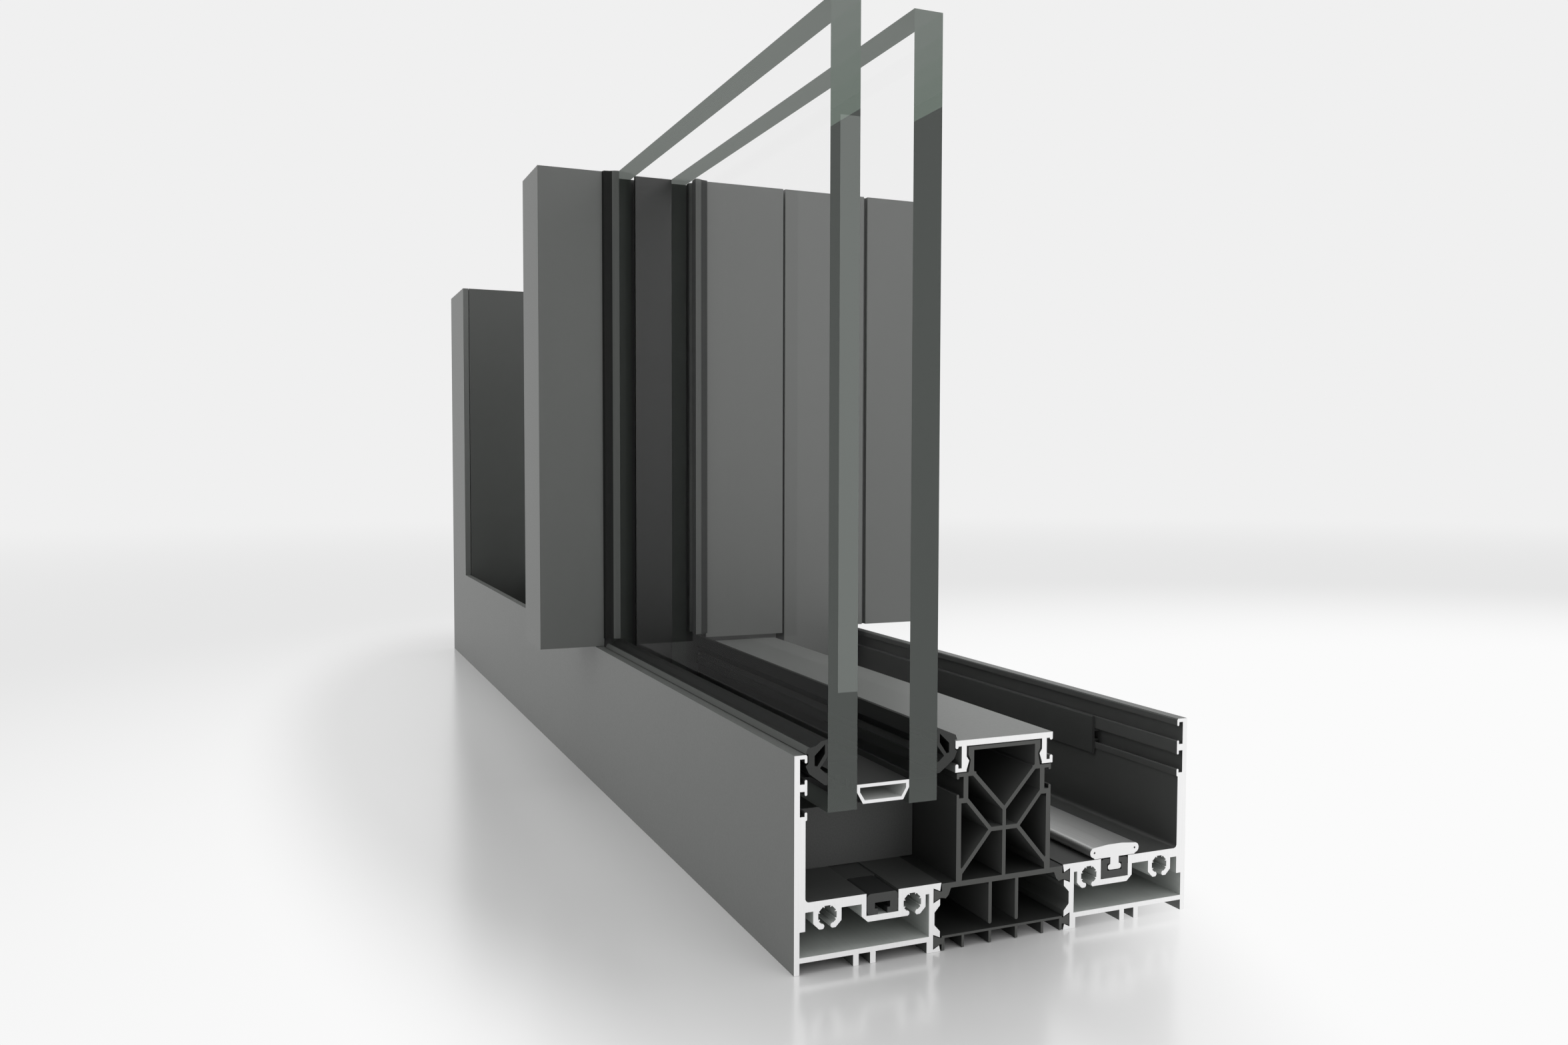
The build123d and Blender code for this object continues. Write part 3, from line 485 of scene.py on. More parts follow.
@dataclass(frozen=True)
class DarkPlastic:
    """Glass-filled polyamide, hard plastic or rubber: matt, near black, and speckled where sawn.

    The closed cells of a break are painted a paler colour, painted light that lifts them out of their shade,
    and the lip of a gasket is painted paler along its edge, a painted highlight. The fibres behind the
    speckle are finer than it: it is as coarse as it needs to be to show.
    """

    name: str
    ends: Ends
    skin: str = "#1f201f"
    sawn: str = "#434442"
    # Colour of the painted light in a break's cells and of the painted highlight on a gasket's lip
    painted_light_skin: str = "#434443"
    painted_light_parts: tuple[Region, ...] = ()
    roughness: float = 0.55
    sheen: float = 0.5
    speckle: float = 0.6 * MM
    speckle_from: float = 0.3
    speckle_to: float = 0.7
    speckle_strength: float = 0.3
    speckle_height: float = 0.015 * MM
    skin_shade: float = 1.25
    sawn_shade: float = 1.12

    def build(self) -> bpy.types.Material:
        """Builds the node material.

        Returns:
            The finished material.
        """
        material, tree = new_material(self.name)
        place = add(tree, "TexCoord").outputs["Object"]
        fibres = add(tree, "TexNoise", {"Scale": 1 / self.speckle, "Detail": 4.0},
                     {"Vector": place}).outputs["Fac"]
        spread = add(tree, "MapRange", {"From Min": self.speckle_from, "From Max": self.speckle_to},
                     {"Value": fibres}).outputs[0]
        colour = mottled(tree, spread, self.skin, self.skin_shade)
        # Painted light: a paler colour over the break's closed cells, and painted highlights along the
        # gasket lips
        pale = any_of(tree, self.painted_light_parts)
        if pale is not None:
            colour = add(tree, "Mix", {"data_type": "RGBA", COLOUR_HIGH: linear(self.painted_light_skin)},
                         {"Factor": pale, COLOUR_LOW: colour}).outputs[COLOUR_OUT]
        mask = sawn_mask(tree, self.ends)
        if mask is not None:
            sawn = mottled(tree, spread, self.sawn, self.sawn_shade)
            colour = add(tree, "Mix", {"data_type": "RGBA"},
                         {"Factor": mask, COLOUR_LOW: colour, COLOUR_HIGH: sawn}).outputs[COLOUR_OUT]
        bump = add(tree, "Bump", {"Strength": self.speckle_strength, "Distance": self.speckle_height},
                   {"Height": fibres})
        shader = add(tree, "BsdfPrincipled", {"Roughness": self.roughness, "Specular IOR Level": self.sheen},
                     {"Base Color": colour, "Normal": bump.outputs[0]})
        add(tree, "OutputMaterial", links={"Surface": shader.outputs[0]})
        return material


@dataclass(frozen=True)
class FloatGlass:
    """Float glass: clear through its faces, grey-green and half clear through its ground edges.

    Light that came in through the end runs along inside the pane, and the faces throw it back as real glass
    does past its critical angle, so the end looks dark. Light straight through the faces isn't bent. Where a
    band is given, a paler strip is painted on the end by a larger share of pale haze there: painted light
    that stands in for light running along inside the pane.
    """

    name: str
    face_tint: str = "#fefefe"
    face_gloss: str = "#ffffff"
    face_gloss_roughness: float = 0.02
    inner_mirror: str = "#f6faf7"
    edge_tint: str = "#7d827e"
    edge_body: str = "#808581"
    edge_share: float = 0.3
    end_tint: str = "#fcfefd"
    end_body: str = "#c9d0cb"
    end_share: float = 0.15
    band: Region | None = None
    painted_light_share: float = 0.3
    shine: float = 0.12
    ior: float = 1.5
    half: float = 0.5

    def build(self) -> bpy.types.Material:
        """Builds the node material.

        A face looks mostly along Y and an end mostly along X. The shine of a face is Fresnel's share
        times the shine field, on the side that light meets from outside.

        Returns:
            The finished material.
        """
        material, tree = new_material(self.name)
        normal = add(tree, "SeparateXYZ", links={0: add(tree, "TexCoord").outputs["Normal"]})
        masks = {}
        for axis in "XY":
            size = add(tree, "Math", {"operation": "ABSOLUTE"}, {0: normal.outputs[axis]})
            masks[axis] = add(tree, "Math", {"operation": "GREATER_THAN", 1: self.half},
                              {0: size.outputs[0]}).outputs[0]
        behind = add(tree, "NewGeometry").outputs["Backfacing"]
        front = add(tree, "Math", {"operation": "SUBTRACT", 0: 1.0}, {1: behind})
        path = add(tree, "LightPath")
        inside = add(tree, "Math", {"operation": "GREATER_THAN", 1: self.half},
                     {0: path.outputs["Transmission Depth"]})
        trapped = add(tree, "Math", {"operation": "MULTIPLY"}, {0: inside.outputs[0], 1: behind})
        fresnel = add(tree, "Fresnel", {"IOR": self.ior})
        shine = add(tree, "Math", {"operation": "MULTIPLY"}, {0: fresnel.outputs[0], 1: front.outputs[0]})
        faint = add(tree, "Math", {"operation": "MULTIPLY", 1: self.shine}, {0: shine.outputs[0]})

        clear = add(tree, "BsdfTransparent", {"Color": linear(self.face_tint)})
        gloss = add(tree, "BsdfGlossy", {"Roughness": self.face_gloss_roughness,
                                         "Color": linear(self.face_gloss)})
        mirror = add(tree, "BsdfGlossy", {"Roughness": 0.0, "Color": linear(self.inner_mirror)})
        face = add(tree, "MixShader", {}, {0: faint.outputs[0], 1: clear.outputs[0], 2: gloss.outputs[0]})
        face = add(tree, "MixShader", {}, {0: trapped.outputs[0], 1: face.outputs[0],
                                           2: mirror.outputs[0]})

        body = add(tree, "BsdfDiffuse", {"Color": linear(self.edge_body)})
        through = add(tree, "BsdfTransparent", {"Color": linear(self.edge_tint)})
        edge = add(tree, "MixShader", {0: self.edge_share}, {1: through.outputs[0], 2: body.outputs[0]})

        haze = add(tree, "BsdfDiffuse", {"Color": linear(self.end_body)})
        bent = add(tree, "BsdfRefraction", {"Color": linear(self.end_tint), "Roughness": 0.0,
                                            "IOR": self.ior})
        end = add(tree, "MixShader", {0: self.end_share}, {1: bent.outputs[0], 2: haze.outputs[0]})
        # Painted light: a paler strip on the end, where more of the haze is mixed in
        if self.band is not None:
            share = add(tree, "Mix", {"data_type": "FLOAT", VALUE_LOW: self.end_share,
                                      VALUE_HIGH: self.painted_light_share}, {"Factor": self.band.mask(tree)})
            tree.links.new(share.outputs[VALUE_OUT], end.inputs[0])
        at_end = add(tree, "Math", {"operation": "MULTIPLY"}, {0: masks["X"], 1: front.outputs[0]})
        edge = add(tree, "MixShader", {}, {0: at_end.outputs[0], 1: edge.outputs[0], 2: end.outputs[0]})
        whole = add(tree, "MixShader", {}, {0: masks["Y"], 1: edge.outputs[0], 2: face.outputs[0]})
        add(tree, "OutputMaterial", links={"Surface": whole.outputs[0]})
        return material


# Sizes of the sill's section, which the jamb has too, standing on end. FAR is past the object.
FAR = 1.0
LEG_SKIN = 1.0 * MM
HEAD_SKIN = 0.3 * MM
SEAM = 0.5 * MM
SHELL_SIDE = 54.3 * MM
SHELL_FLOOR = 25.4 * MM
CHAMBER_TOP = 22.3 * MM
CHAMBER_BOTTOM = 5.9 * MM
OUTER_Y = low_corner("sill_outer_shell").y
INNER_Y = high_corner("sill_inner_shell").y
SILL_START = low_corner("sill_outer_shell").x
SILL_HEAD = high_corner("sill_outer_shell").z
JAMB_BACK = low_corner("jamb_outer_shell").x
JAMB_FACE = high_corner("jamb_outer_shell").x

# Painted shade: a darker coat colour inside each channel, where shade falls, and a dark joint line on the
# sill's end at the jamb
SILL_SHADE_AND_JOINT = (
    Region((-FAR, OUTER_Y + LEG_SKIN, SHELL_FLOOR), (FAR, INNER_Y - LEG_SKIN, SILL_HEAD - HEAD_SKIN)),
    Region((-FAR, -FAR, -FAR), (SILL_START + SEAM, FAR, FAR)),
)
JAMB_CHANNEL_SHADE = (
    Region((JAMB_BACK + SHELL_FLOOR, OUTER_Y + LEG_SKIN, -FAR),
           (JAMB_FACE - HEAD_SKIN, INNER_Y - LEG_SKIN, FAR)),
)
# Where it doesn't reach: the closed chambers under each floor
SILL_CHAMBERS = (
    Region((-FAR, OUTER_Y + LEG_SKIN, CHAMBER_BOTTOM), (FAR, OUTER_Y + SHELL_SIDE, CHAMBER_TOP)),
    Region((-FAR, INNER_Y - SHELL_SIDE, CHAMBER_BOTTOM), (FAR, INNER_Y - LEG_SKIN, CHAMBER_TOP)),
)
JAMB_CHAMBERS = (
    Region((JAMB_BACK + CHAMBER_BOTTOM, OUTER_Y + LEG_SKIN, -FAR),
           (JAMB_BACK + CHAMBER_TOP, OUTER_Y + SHELL_SIDE, FAR)),
    Region((JAMB_BACK + CHAMBER_BOTTOM, INNER_Y - SHELL_SIDE, -FAR),
           (JAMB_BACK + CHAMBER_TOP, INNER_Y - LEG_SKIN, FAR)),
)

# The closed cells of the sill's break, painted paler as painted light: the tower, its neck, and the lower
# chamber
TOWER_HALF = 20.0 * MM
NECK_HALF = 17.0 * MM
SHOULDER = 53.0 * MM
LOWER_HALF = 24.0 * MM
PAINTED_LIGHT_BREAK_CELLS = (
    Region((-FAR, -TOWER_HALF, SHELL_FLOOR), (FAR, TOWER_HALF, SHOULDER)),
    Region((-FAR, -NECK_HALF, SHOULDER), (FAR, NECK_HALF, SILL_HEAD - LEG_SKIN)),
    Region((-FAR, -LOWER_HALF, CHAMBER_BOTTOM), (FAR, LOWER_HALF, CHAMBER_TOP)),
)

# Painted highlights on the gaskets' lips, along their outer edges
SILL_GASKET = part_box("sill_outer_gasket")
UPRIGHT_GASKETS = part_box("interlock_outer_gasket"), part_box("interlock_inner_gasket")
LIP = 3.6 * MM
HEEL = 1.6 * MM
SILL_LIP_HIGHLIGHT = Region((-FAR, SILL_GASKET[0].y, SILL_HEAD), (FAR, SILL_GASKET[0].y + HEEL, FAR))
OUTER_LIP_HIGHLIGHT = Region((-FAR, UPRIGHT_GASKETS[0][1].y - LIP, -FAR), (FAR, UPRIGHT_GASKETS[0][1].y, FAR))
ROOM_LIP_HIGHLIGHT = Region((-FAR, UPRIGHT_GASKETS[1][0].y, -FAR), (FAR, UPRIGHT_GASKETS[1][0].y + LIP, FAR))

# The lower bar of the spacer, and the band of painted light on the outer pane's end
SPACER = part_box("fixed_spacer")
SPACER_BOTTOM = SPACER[0].z
SPACER_HEIGHT = 7.1 * MM
SPACER_MIDDLE = (0.0, (SPACER[0].y + SPACER[1].y) / 2, SPACER_BOTTOM + SPACER_HEIGHT / 2)
OUTER_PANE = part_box("fixed_outer_pane")
BAND_EDGE = 3.8 * MM
BAND_FOOT = 99.0 * MM
BAND_HEAD = 300.0 * MM
PANE_PAINTED_LIGHT_BAND = Region((OUTER_PANE[1].x - BAND_EDGE, OUTER_PANE[0].y + BAND_EDGE, BAND_FOOT),
                   (FAR, FAR, BAND_HEAD))

SILL_COAT = CoatedAluminium("powder_coated_aluminium_sill", Ends.CUT_END, shade_and_joint_regions=SILL_SHADE_AND_JOINT,
                            chambers=SILL_CHAMBERS)
COVER_COAT = CoatedAluminium("powder_coated_aluminium_cover", Ends.CUT_END, coat="#6b6d6b")
JAMB_COAT = CoatedAluminium("powder_coated_aluminium_jamb", Ends.CUT_TOP, shade_and_joint_regions=JAMB_CHANNEL_SHADE,
                            chambers=JAMB_CHAMBERS)
UPRIGHT_COAT = CoatedAluminium("powder_coated_aluminium_upright", Ends.CUT_TOP)
ROOM_COAT = CoatedAluminium("powder_coated_aluminium_room_side", Ends.CUT_TOP, coat="#626462")
# The jamb's channel cover has a darker coat colour: painted shade for the shade that the interlock casts
# into the channel
CHANNEL_COVER_SHADED_COAT = CoatedAluminium("powder_coated_aluminium_channel_painted_shade", Ends.CUT_TOP, coat="#404240")
LEAF_RAIL_COAT = CoatedAluminium("powder_coated_aluminium_leaf_rail", Ends.NONE, coat="#686968")

RAIL_METAL = BareAluminium("anodised_aluminium_rail", Along.SILL, Ends.CUT_END, metal="#dcdddc",
                           roughness=0.42)
LEAF_SPACER_METAL = BareAluminium("bare_aluminium_spacer", Along.SILL, metal="#8c8d8e", roughness=0.4)
ROLLER_STEEL = BareAluminium("turned_steel_rollers", Along.UPRIGHT, metal="#a8a8a6", line_stretch=4.0)
SPACER_LACQUER = LacqueredSpacer("black_lacquered_spacer", Ends.BOTH, SPACER_MIDDLE,
                                 SPACER_BOTTOM + SPACER_HEIGHT)

BREAK_PLASTIC_SILL = DarkPlastic("glass_filled_polyamide_sill", Ends.CUT_END, skin="#232423",
                                 painted_light_parts=PAINTED_LIGHT_BREAK_CELLS)
BREAK_PLASTIC_UPRIGHT = DarkPlastic("glass_filled_polyamide_upright", Ends.CUT_TOP)
POCKET_PLASTIC = DarkPlastic("glass_filled_polyamide_pocket", Ends.CUT_TOP, skin="#2c2d2c")
BLACK_PLASTIC = DarkPlastic("black_hard_plastic", Ends.CUT_END, skin="#191a1a", sawn="#383938")
GROOVE_PLASTIC = DarkPlastic("black_cover_strip_plastic", Ends.CUT_END, skin="#303130", sawn="#383938")
STRIP_PLASTIC = DarkPlastic("grey_cover_strip_plastic", Ends.CUT_END, skin="#3b3c3b", sawn="#383938")
BLOCK_PLASTIC = DarkPlastic("recycled_plastic_block", Ends.NONE, skin="#4b4c4b")

# The paler strips along the gasket lips are painted highlights
RUBBER_SILL = DarkPlastic("epdm_rubber_sill", Ends.CUT_END, skin="#131413", sawn="#3a3b3a",
                          painted_light_skin="#4a4c4a", painted_light_parts=(SILL_LIP_HIGHLIGHT,), roughness=0.7, sheen=0.15)
RUBBER_UPRIGHT = DarkPlastic("epdm_rubber_upright", Ends.CUT_TOP, skin="#131413", sawn="#3a3b3a",
                             painted_light_skin="#505250", painted_light_parts=(OUTER_LIP_HIGHLIGHT,), roughness=0.6, sheen=0.15)
RUBBER_ROOM = DarkPlastic("epdm_rubber_room_side", Ends.CUT_TOP, skin="#262726", sawn="#3a3b3a",
                          painted_light_skin="#555755", painted_light_parts=(ROOM_LIP_HIGHLIGHT,), roughness=0.6, sheen=0.2)
RUBBER_LEAF = DarkPlastic("epdm_rubber_leaf", Ends.CUT_TOP, skin="#232423", sawn="#3a3b3a",
                          roughness=0.45)
PILE = DarkPlastic("polypropylene_pile", Ends.NONE, skin="#262726", roughness=0.9, speckle=0.3 * MM)

GLASS = FloatGlass("float_glass")
# The outer pane's end carries a band of painted light
PAINTED_LIGHT_BAND_GLASS = FloatGlass("float_glass_with_painted_light_band", band=PANE_PAINTED_LIGHT_BAND)


def new_piece(name: str, points: np.ndarray, faces: list[list[int]]) -> bpy.types.Object:
    """Makes an object of points and faces, and links it to the scene.

    Args:
        name: the piece's name.
        points: n by 3 places, in metres.
        faces: the corners of each face by number, anticlockwise as seen from outside.

    Returns:
        The object.
    """
    mesh = bpy.data.meshes.new(name)
    mesh.from_pydata(points.tolist(), [], faces)
    piece = bpy.data.objects.new(name, mesh)
    bpy.context.scene.collection.objects.link(piece)
    return piece


def prism(name: str, outline: np.ndarray, axis: int, start: float, end: float) -> bpy.types.Object:
    """Makes a closed bar: the outline carried straight along one axis, with a flat cap at each end.

    A point of the side is (outline(i), start + t (end - start)) with t from 0 to 1.

    Args:
        name: the piece's name.
        outline: n by 2 corners, anticlockwise as seen from the axis's far end, in metres.
        axis: 0 for a bar along X (outline in Y, Z), 2 for one along Z (outline in X, Y).
        start: where the bar begins along the axis.
        end: where it ends.

    Returns:
        The object, linked to the scene.
    """
    count = len(outline)
    others = [i for i in range(3) if i != axis]
    points = np.zeros((2, count, 3))
    points[:, :, others[0]] = outline[:, 0]
    points[:, :, others[1]] = outline[:, 1]
    points[:, :, axis] = np.array([start, end])[:, None]
    ring = np.arange(count)
    after = np.roll(ring, -1)
    sides = np.stack([ring, after, after + count, ring + count], axis=1)
    caps = [ring[::-1].tolist(), (ring + count).tolist()]
    return new_piece(name, points.reshape(-1, 3), sides.tolist() + caps)


def finish_piece(piece: bpy.types.Object, finish: Finish, body: str) -> None:
    """Gives a new piece its finish and its body, and reports it.

    Args:
        piece: the object.
        finish: the finish.
        body: the CAD body that it moves with.
    """
    piece.data.materials.append(bpy.data.materials.get(finish.name) or finish.build())
    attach(piece, body)
    log.info("%s: %s, %d faces", piece.name, finish.name, len(piece.data.polygons))


def dress(finish: Finish, *nodes: str) -> None:
    """Gives some CAD nodes one finish.

    Args:
        finish: the finish.
        nodes: names of the CAD nodes.
    """
    material = bpy.data.materials.get(finish.name) or finish.build()
    for name in nodes:
        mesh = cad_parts[name].data
        mesh.materials.clear()
        mesh.materials.append(material)
        log.info("%s: %s", name, finish.name)


class Sill:
    """The horizontal profile with its break, cover, pocket pieces, track and gaskets."""

    def build(self) -> None:
        """Dresses the sill's nodes."""
        dress(SILL_COAT, "sill_outer_shell", "sill_inner_shell")
        dress(COVER_COAT, "sill_centre_cover")
        dress(BREAK_PLASTIC_SILL, "sill_thermal_break", "sill_lower_break")
        dress(BLACK_PLASTIC, "pocket_insert", "track_carrier", "glass_packer")
        dress(STRIP_PLASTIC, "pocket_strip")
        dress(GROOVE_PLASTIC, "inner_groove_cover")
        dress(BLOCK_PLASTIC, "setting_block")
        dress(RAIL_METAL, "track_rail")
        dress(RUBBER_SILL, "sill_outer_gasket", "sill_inner_gasket")


@dataclass
class Jamb:
    """The upright profile at the far end, with the screws that hold the sill to it."""

    screw_places: tuple[float, float] = (12.9 * MM, 47.0 * MM)
    screw_height: float = 19.9 * MM
    plate: float = 4.2 * MM
    head_radius: float = 4.2 * MM
    head_height: float = 2.4 * MM
    head_profile: tuple[tuple[float, float], ...] = ((1.0, 0.0), (1.0, 0.35), (0.94, 0.7), (0.75, 0.93))
    recess_radius: float = 1.9 * MM
    recess_depth: float = 1.5 * MM
    recess_profile: tuple[tuple[float, float], ...] = ((1.1, 1.0), (1.0, 0.93))
    recess_taper: float = 0.9
    recess_lobes: int = 6
    lobe_swell: float = 0.14
    turn_steps: int = 48

    def screw(self, name: str, y: float) -> None:
        """Adds one pan-head screw on the back plate, its head towards -X.

        The head is a surface of revolution: at each step of the profile, radius r and height h, the
        point is (back - h, y + r cos a, z + r sin a). The profiles give r and h as shares of the head's
        or the recess's radius and of the head's height, and the recess's floor lies its depth down. In
        the recess the radius is multiplied by 1 + swell cos(lobes a), which gives its lobes.

        Args:
            name: the piece's name.
            y: the screw's place across the jamb.
        """
        floor = self.head_height - self.recess_depth
        head = np.array(self.head_profile) * (self.head_radius, self.head_height)
        recess = np.array(self.recess_profile) * (self.recess_radius, self.head_height)
        recess = np.vstack([recess, (self.recess_taper * self.recess_radius, floor)])
        radii, heights = np.vstack([(0.0, 0.0), head, recess, (0.0, floor)]).T
        lobed = np.array([0] * (1 + len(head)) + [1] * len(recess) + [0])
        steps = self.turn_steps
        turn = np.arange(steps) * 2 * math.pi / steps
        wave = 1 + self.lobe_swell * lobed[:, None] * np.cos(self.recess_lobes * turn)[None, :]
        reach = radii[:, None] * wave
        back = JAMB_BACK + self.plate
        points = np.stack([np.broadcast_to((back - heights)[:, None], reach.shape),
                           y + reach * np.cos(turn), self.screw_height + reach * np.sin(turn)], axis=-1)
        corners = np.vstack([points[1:-1].reshape(-1, 3), points[0, :1], points[-1, :1]])
        rows = len(radii) - 2
        ring = np.arange(steps)
        after = np.roll(ring, -1)
        low = np.arange(rows - 1)[:, None] * steps
        high = low + steps
        last = (rows - 1) * steps
        sides = np.stack([low + ring, high + ring, high + after, low + after], axis=-1).reshape(-1, 4)
        base = np.stack([np.full(steps, rows * steps), ring, after], axis=1)
        tip = np.stack([np.full(steps, rows * steps + 1), last + after, last + ring], axis=1)
        piece = new_piece(name, corners, sides.tolist() + base.tolist() + tip.tolist())
        finish_piece(piece, ROLLER_STEEL, "frame")

    def build(self) -> None:
        """Dresses the jamb's nodes and adds its screws."""
        dress(JAMB_COAT, "jamb_outer_shell", "jamb_inner_shell")
        dress(UPRIGHT_COAT, "jamb_centre_cover")
        dress(CHANNEL_COVER_SHADED_COAT, "jamb_channel_cover")
        dress(BREAK_PLASTIC_UPRIGHT, "jamb_thermal_break", "jamb_lower_break")
        for number, place in enumerate(self.screw_places, 1):
            self.screw(f"outer_jamb_screw_{number}", OUTER_Y + place)
            self.screw(f"inner_jamb_screw_{number}", INNER_Y - place)


@dataclass
class Interlock:
    """The uprights where the fixed glass ends, with the seal that closes the gap to the leaf."""

    carrier_depth: float = 9.0 * MM
    carrier_gap: float = 1.3 * MM
    carrier_wall: float = 1.2 * MM
    pile_inset: float = 11.0 * MM
    pile_width: float = 5.0 * MM
    pile_gap: float = 0.3 * MM
    pile_backing: float = 1.0 * MM

    def seal(self) -> None:
        """Adds the coated seal carrier and the pile strip behind it, both along Z.

        The carrier is a shallow U open to the leaf. The pile is a flat backing with a brush on the
        middle two thirds of its width, drawn in to a ridge at its tip.
        """
        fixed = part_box("interlock_inner_profile")
        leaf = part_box("leaf_meeting_stile")
        front, near = fixed[1].x, fixed[1].y
        far = leaf[0].y - self.carrier_gap
        rear = front - self.carrier_depth
        wall = self.carrier_wall
        carrier = np.array([
            (rear, near), (rear + wall, near), (front - wall, near), (front, near), (front, far),
            (front - wall, far), (front - wall, near + wall), (rear + wall, near + wall),
            (rear + wall, far), (rear, far)])
        finish_piece(prism("interlock_seal_carrier", carrier, 2, fixed[0].z, fixed[1].z), ROOM_COAT, "frame")
        low = rear - self.pile_inset
        high = low + self.pile_width
        middle = (high + low) / 2
        brush = self.pile_width / 3
        foot = near + self.pile_backing
        tip = leaf[0].y - self.pile_gap
        shoulder = tip - self.pile_backing
        pile = np.array([
            (low, near), (high, near), (high, foot), (middle + brush, foot), (middle + brush, shoulder),
            (middle, tip), (middle - brush, shoulder), (middle - brush, foot), (low, foot)])
        finish_piece(prism("interlock_pile_seal", pile, 2, fixed[0].z, fixed[1].z), PILE, "frame")

    def build(self) -> None:
        """Dresses the interlock's nodes and adds its seal."""
        dress(UPRIGHT_COAT, "interlock_outer_profile")
        dress(ROOM_COAT, "interlock_inner_profile")
        dress(POCKET_PLASTIC, "interlock_pocket")
        dress(BREAK_PLASTIC_UPRIGHT, "interlock_base_pad")
        dress(RUBBER_UPRIGHT, "interlock_outer_gasket")
        dress(RUBBER_ROOM, "interlock_inner_gasket")
        self.seal()


class Glazing:
    """The fixed double glazing."""

    def build(self) -> None:
        """Dresses the fixed glass and its spacer."""
        dress(PAINTED_LIGHT_BAND_GLASS, "fixed_outer_pane")
        dress(GLASS, "fixed_inner_pane")
        dress(SPACER_LACQUER, "fixed_spacer")


class SlidingLeaf:
    """The leaf that runs on the inner track."""

    def build(self) -> None:
        """Dresses the leaf's nodes."""
        dress(ROOM_COAT, "leaf_meeting_stile", "leaf_proud_profile", "leaf_lock_stile")
        dress(LEAF_RAIL_COAT, "leaf_bottom_rail")
        dress(GLASS, "leaf_outer_pane", "leaf_inner_pane")
        dress(LEAF_SPACER_METAL, "leaf_spacer")
        dress(RUBBER_LEAF, "leaf_outer_gasket", "leaf_inner_gasket")
        dress(BLACK_PLASTIC, "front_roller_carriage", "rear_roller_carriage")
        dress(ROLLER_STEEL, "front_rollers", "rear_rollers")


@dataclass(frozen=True)
class SoftLamp:
    """A square area light: its side in metres, its power in watts, and the point that it is aimed at."""

    name: str
    place: Point
    aim: Point
    side: float
    power: float


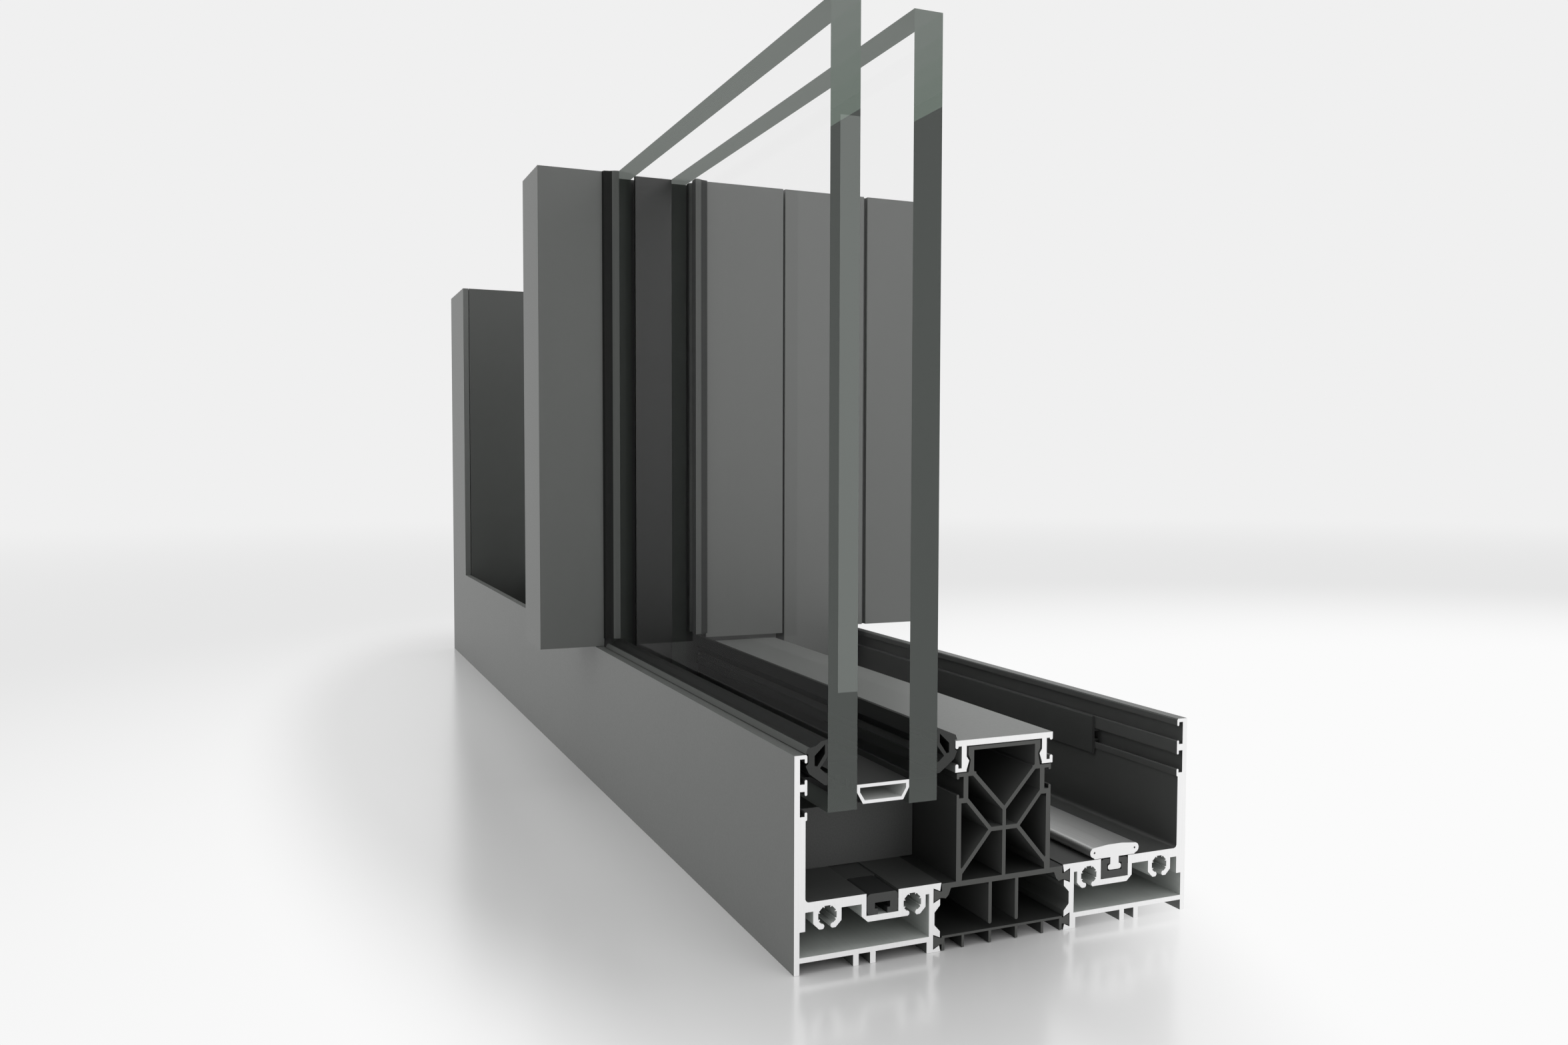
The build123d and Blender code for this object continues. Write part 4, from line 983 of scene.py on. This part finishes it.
@dataclass
class Studio:
    """Pale floor, soft lights and the camera that stands where the photograph's did."""

    camera_place: Point = (807.1 * MM, -253.6 * MM, 178.6 * MM)
    camera_turn: Point = (87.385, -0.139, 67.116)
    focal_pixels: float = 1838.6
    nearest: float = 0.01
    furthest: float = 100.0
    lamps: tuple[SoftLamp, ...] = (
        SoftLamp("top_light", (0.3, -0.2, 2.2), (0.0, 0.0, 0.1), 2.0, 14.0),
        SoftLamp("outdoor_light", (-0.3, -2.2, 1.0), (0.0, 0.0, 0.15), 1.8, 12.0),
        SoftLamp("front_light", (2.3, 0.9, 1.0), (0.2, 0.0, 0.12), 1.5, 9.0),
    )
    sky_colour: str = "#f0f0f0"
    sky_light: str = "#ffffff"
    sky_strength: float = 0.65
    floor_side: float = 60.0
    floor_gap: float = 0.05 * MM
    floor_ior: float = 2.4
    floor_colour: str = "#dedede"
    floor_smooth: float = 0.17
    floor_rough: float = 0.23
    mottle_per_metre: float = 1.5
    near_colour: str = "#fbfbfb"
    horizon_colour: str = "#e6e6e6"
    fade_start: float = 0.44
    fade_middle: float = 0.66
    fade_squeeze: float = 3.0
    fade_centre: float = -60.0 * MM
    far_start: float = 0.6
    far_middle: float = 1.4
    far_end: float = 4.0
    far_centre: Point = (0.5, 0.5, 0.0)

    def add_camera(self) -> None:
        """Adds the camera: focal length in pixels over the photograph's width gives the lens."""
        data = bpy.data.cameras.new("camera")
        data.sensor_width = SENSOR_WIDTH
        data.lens = SENSOR_WIDTH * self.focal_pixels / PHOTO_WIDTH
        data.clip_start, data.clip_end = self.nearest, self.furthest
        camera = bpy.data.objects.new("camera", data)
        camera.location = self.camera_place
        camera.rotation_euler = [math.radians(a) for a in self.camera_turn]
        bpy.context.scene.collection.objects.link(camera)
        bpy.context.scene.camera = camera

    def add_lamps(self) -> None:
        """Adds the square area lights, each aimed at a point."""
        for lamp in self.lamps:
            data = bpy.data.lights.new(lamp.name, "AREA")
            data.size, data.energy = lamp.side, lamp.power
            light = bpy.data.objects.new(lamp.name, data)
            light.location = lamp.place
            towards = Vector(lamp.aim) - Vector(lamp.place)
            light.rotation_euler = towards.to_track_quat("-Z", "Y").to_euler()
            bpy.context.scene.collection.objects.link(light)

    def add_sky(self) -> None:
        """Adds the even pale world that lights the object and stands behind it."""
        world = bpy.data.worlds.new("studio")
        world.use_nodes = True
        tree = world.node_tree
        tree.nodes.clear()
        plain = add(tree, "Background", {"Color": linear(self.sky_light), "Strength": self.sky_strength})
        seen = add(tree, "Background", {"Color": linear(self.sky_colour), "Strength": 1.0})
        path = add(tree, "LightPath")
        straight = add(tree, "Math", {"operation": "MAXIMUM"},
                       {0: path.outputs["Is Camera Ray"], 1: path.outputs["Is Transmission Ray"]})
        shown = add(tree, "Math", {"operation": "MAXIMUM"},
                    {0: straight.outputs[0], 1: path.outputs["Is Glossy Ray"]})
        mix = add(tree, "MixShader", {}, {0: shown.outputs[0], 1: plain.outputs[0], 2: seen.outputs[0]})
        add(tree, "OutputWorld", links={"Surface": mix.outputs[0]})
        bpy.context.scene.world = world

    def add_floor(self) -> None:
        """Adds the pale, faintly glossy floor just under the feet, which fades into the backdrop.

        Near the object it is a lit surface. A smooth step of its reach turns that into an even white:
        the reach is the length of (x, squeeze (y - centre), z), so that the lit patch is long along the
        sill and narrow across it. Two smooth steps of the plain distance to a second centre, further
        out, turn the white into the horizon's grey and that into the sky's.
        """
        half = self.floor_side / 2
        level = CAD_BOX[0][2] - self.floor_gap
        corners = np.array([(-half, -half, level), (half, -half, level), (half, half, level),
                            (-half, half, level)])
        floor = new_piece("floor", corners, [[0, 1, 2, 3]])
        material, tree = new_material("pale_gloss_floor")
        place = add(tree, "TexCoord").outputs["Object"]
        mottle = add(tree, "TexNoise", {"Scale": self.mottle_per_metre, "Detail": 2.0}, {"Vector": place})
        rough = add(tree, "MapRange", {"To Min": self.floor_smooth, "To Max": self.floor_rough},
                    {"Value": mottle.outputs["Fac"]})
        lit = add(tree, "BsdfPrincipled", {"Base Color": linear(self.floor_colour), "IOR": self.floor_ior},
                  {"Roughness": rough.outputs[0]})
        moved = add(tree, "VectorMath", {"operation": "SUBTRACT", 1: (0.0, self.fade_centre, 0.0)},
                    {0: place})
        squeezed = add(tree, "VectorMath", {"operation": "MULTIPLY", 1: (1.0, self.fade_squeeze, 1.0)},
                       {0: moved.outputs[0]})
        reach = add(tree, "VectorMath", {"operation": "LENGTH"}, {0: squeezed.outputs[0]})
        aside = add(tree, "VectorMath", {"operation": "DISTANCE", 1: self.far_centre}, {0: place})
        fade, horizon, sky = [
            add(tree, "MapRange", {"interpolation_type": "SMOOTHSTEP", "From Min": low, "From Max": high},
                {"Value": distance.outputs["Value"]}).outputs[0]
            for distance, low, high in ((reach, self.fade_start, self.fade_middle),
                                        (aside, self.far_start, self.far_middle),
                                        (aside, self.far_middle, self.far_end))]
        far = add(tree, "Mix", {"data_type": "RGBA", COLOUR_LOW: linear(self.near_colour),
                                COLOUR_HIGH: linear(self.horizon_colour)}, {"Factor": horizon})
        far = add(tree, "Mix", {"data_type": "RGBA", COLOUR_HIGH: linear(self.sky_colour)},
                  {"Factor": sky, COLOUR_LOW: far.outputs[COLOUR_OUT]})
        even = add(tree, "Emission", {"Strength": 1.0}, {"Color": far.outputs[COLOUR_OUT]})
        mix = add(tree, "MixShader", {}, {0: fade, 1: lit.outputs[0], 2: even.outputs[0]})
        add(tree, "OutputMaterial", links={"Surface": mix.outputs[0]})
        floor.data.materials.append(material)

    def build(self) -> None:
        """Builds the studio and sets how colours are shown."""
        self.add_camera()
        self.add_lamps()
        self.add_sky()
        self.add_floor()
        bpy.context.scene.view_settings.view_transform = "Standard"


def main() -> None:
    for part in (Studio(), Sill(), Jamb(), Interlock(), Glazing(), SlidingLeaf()):
        part.build()
        log.info("%s built", type(part).__name__)


if __name__ == "__main__":
    main()
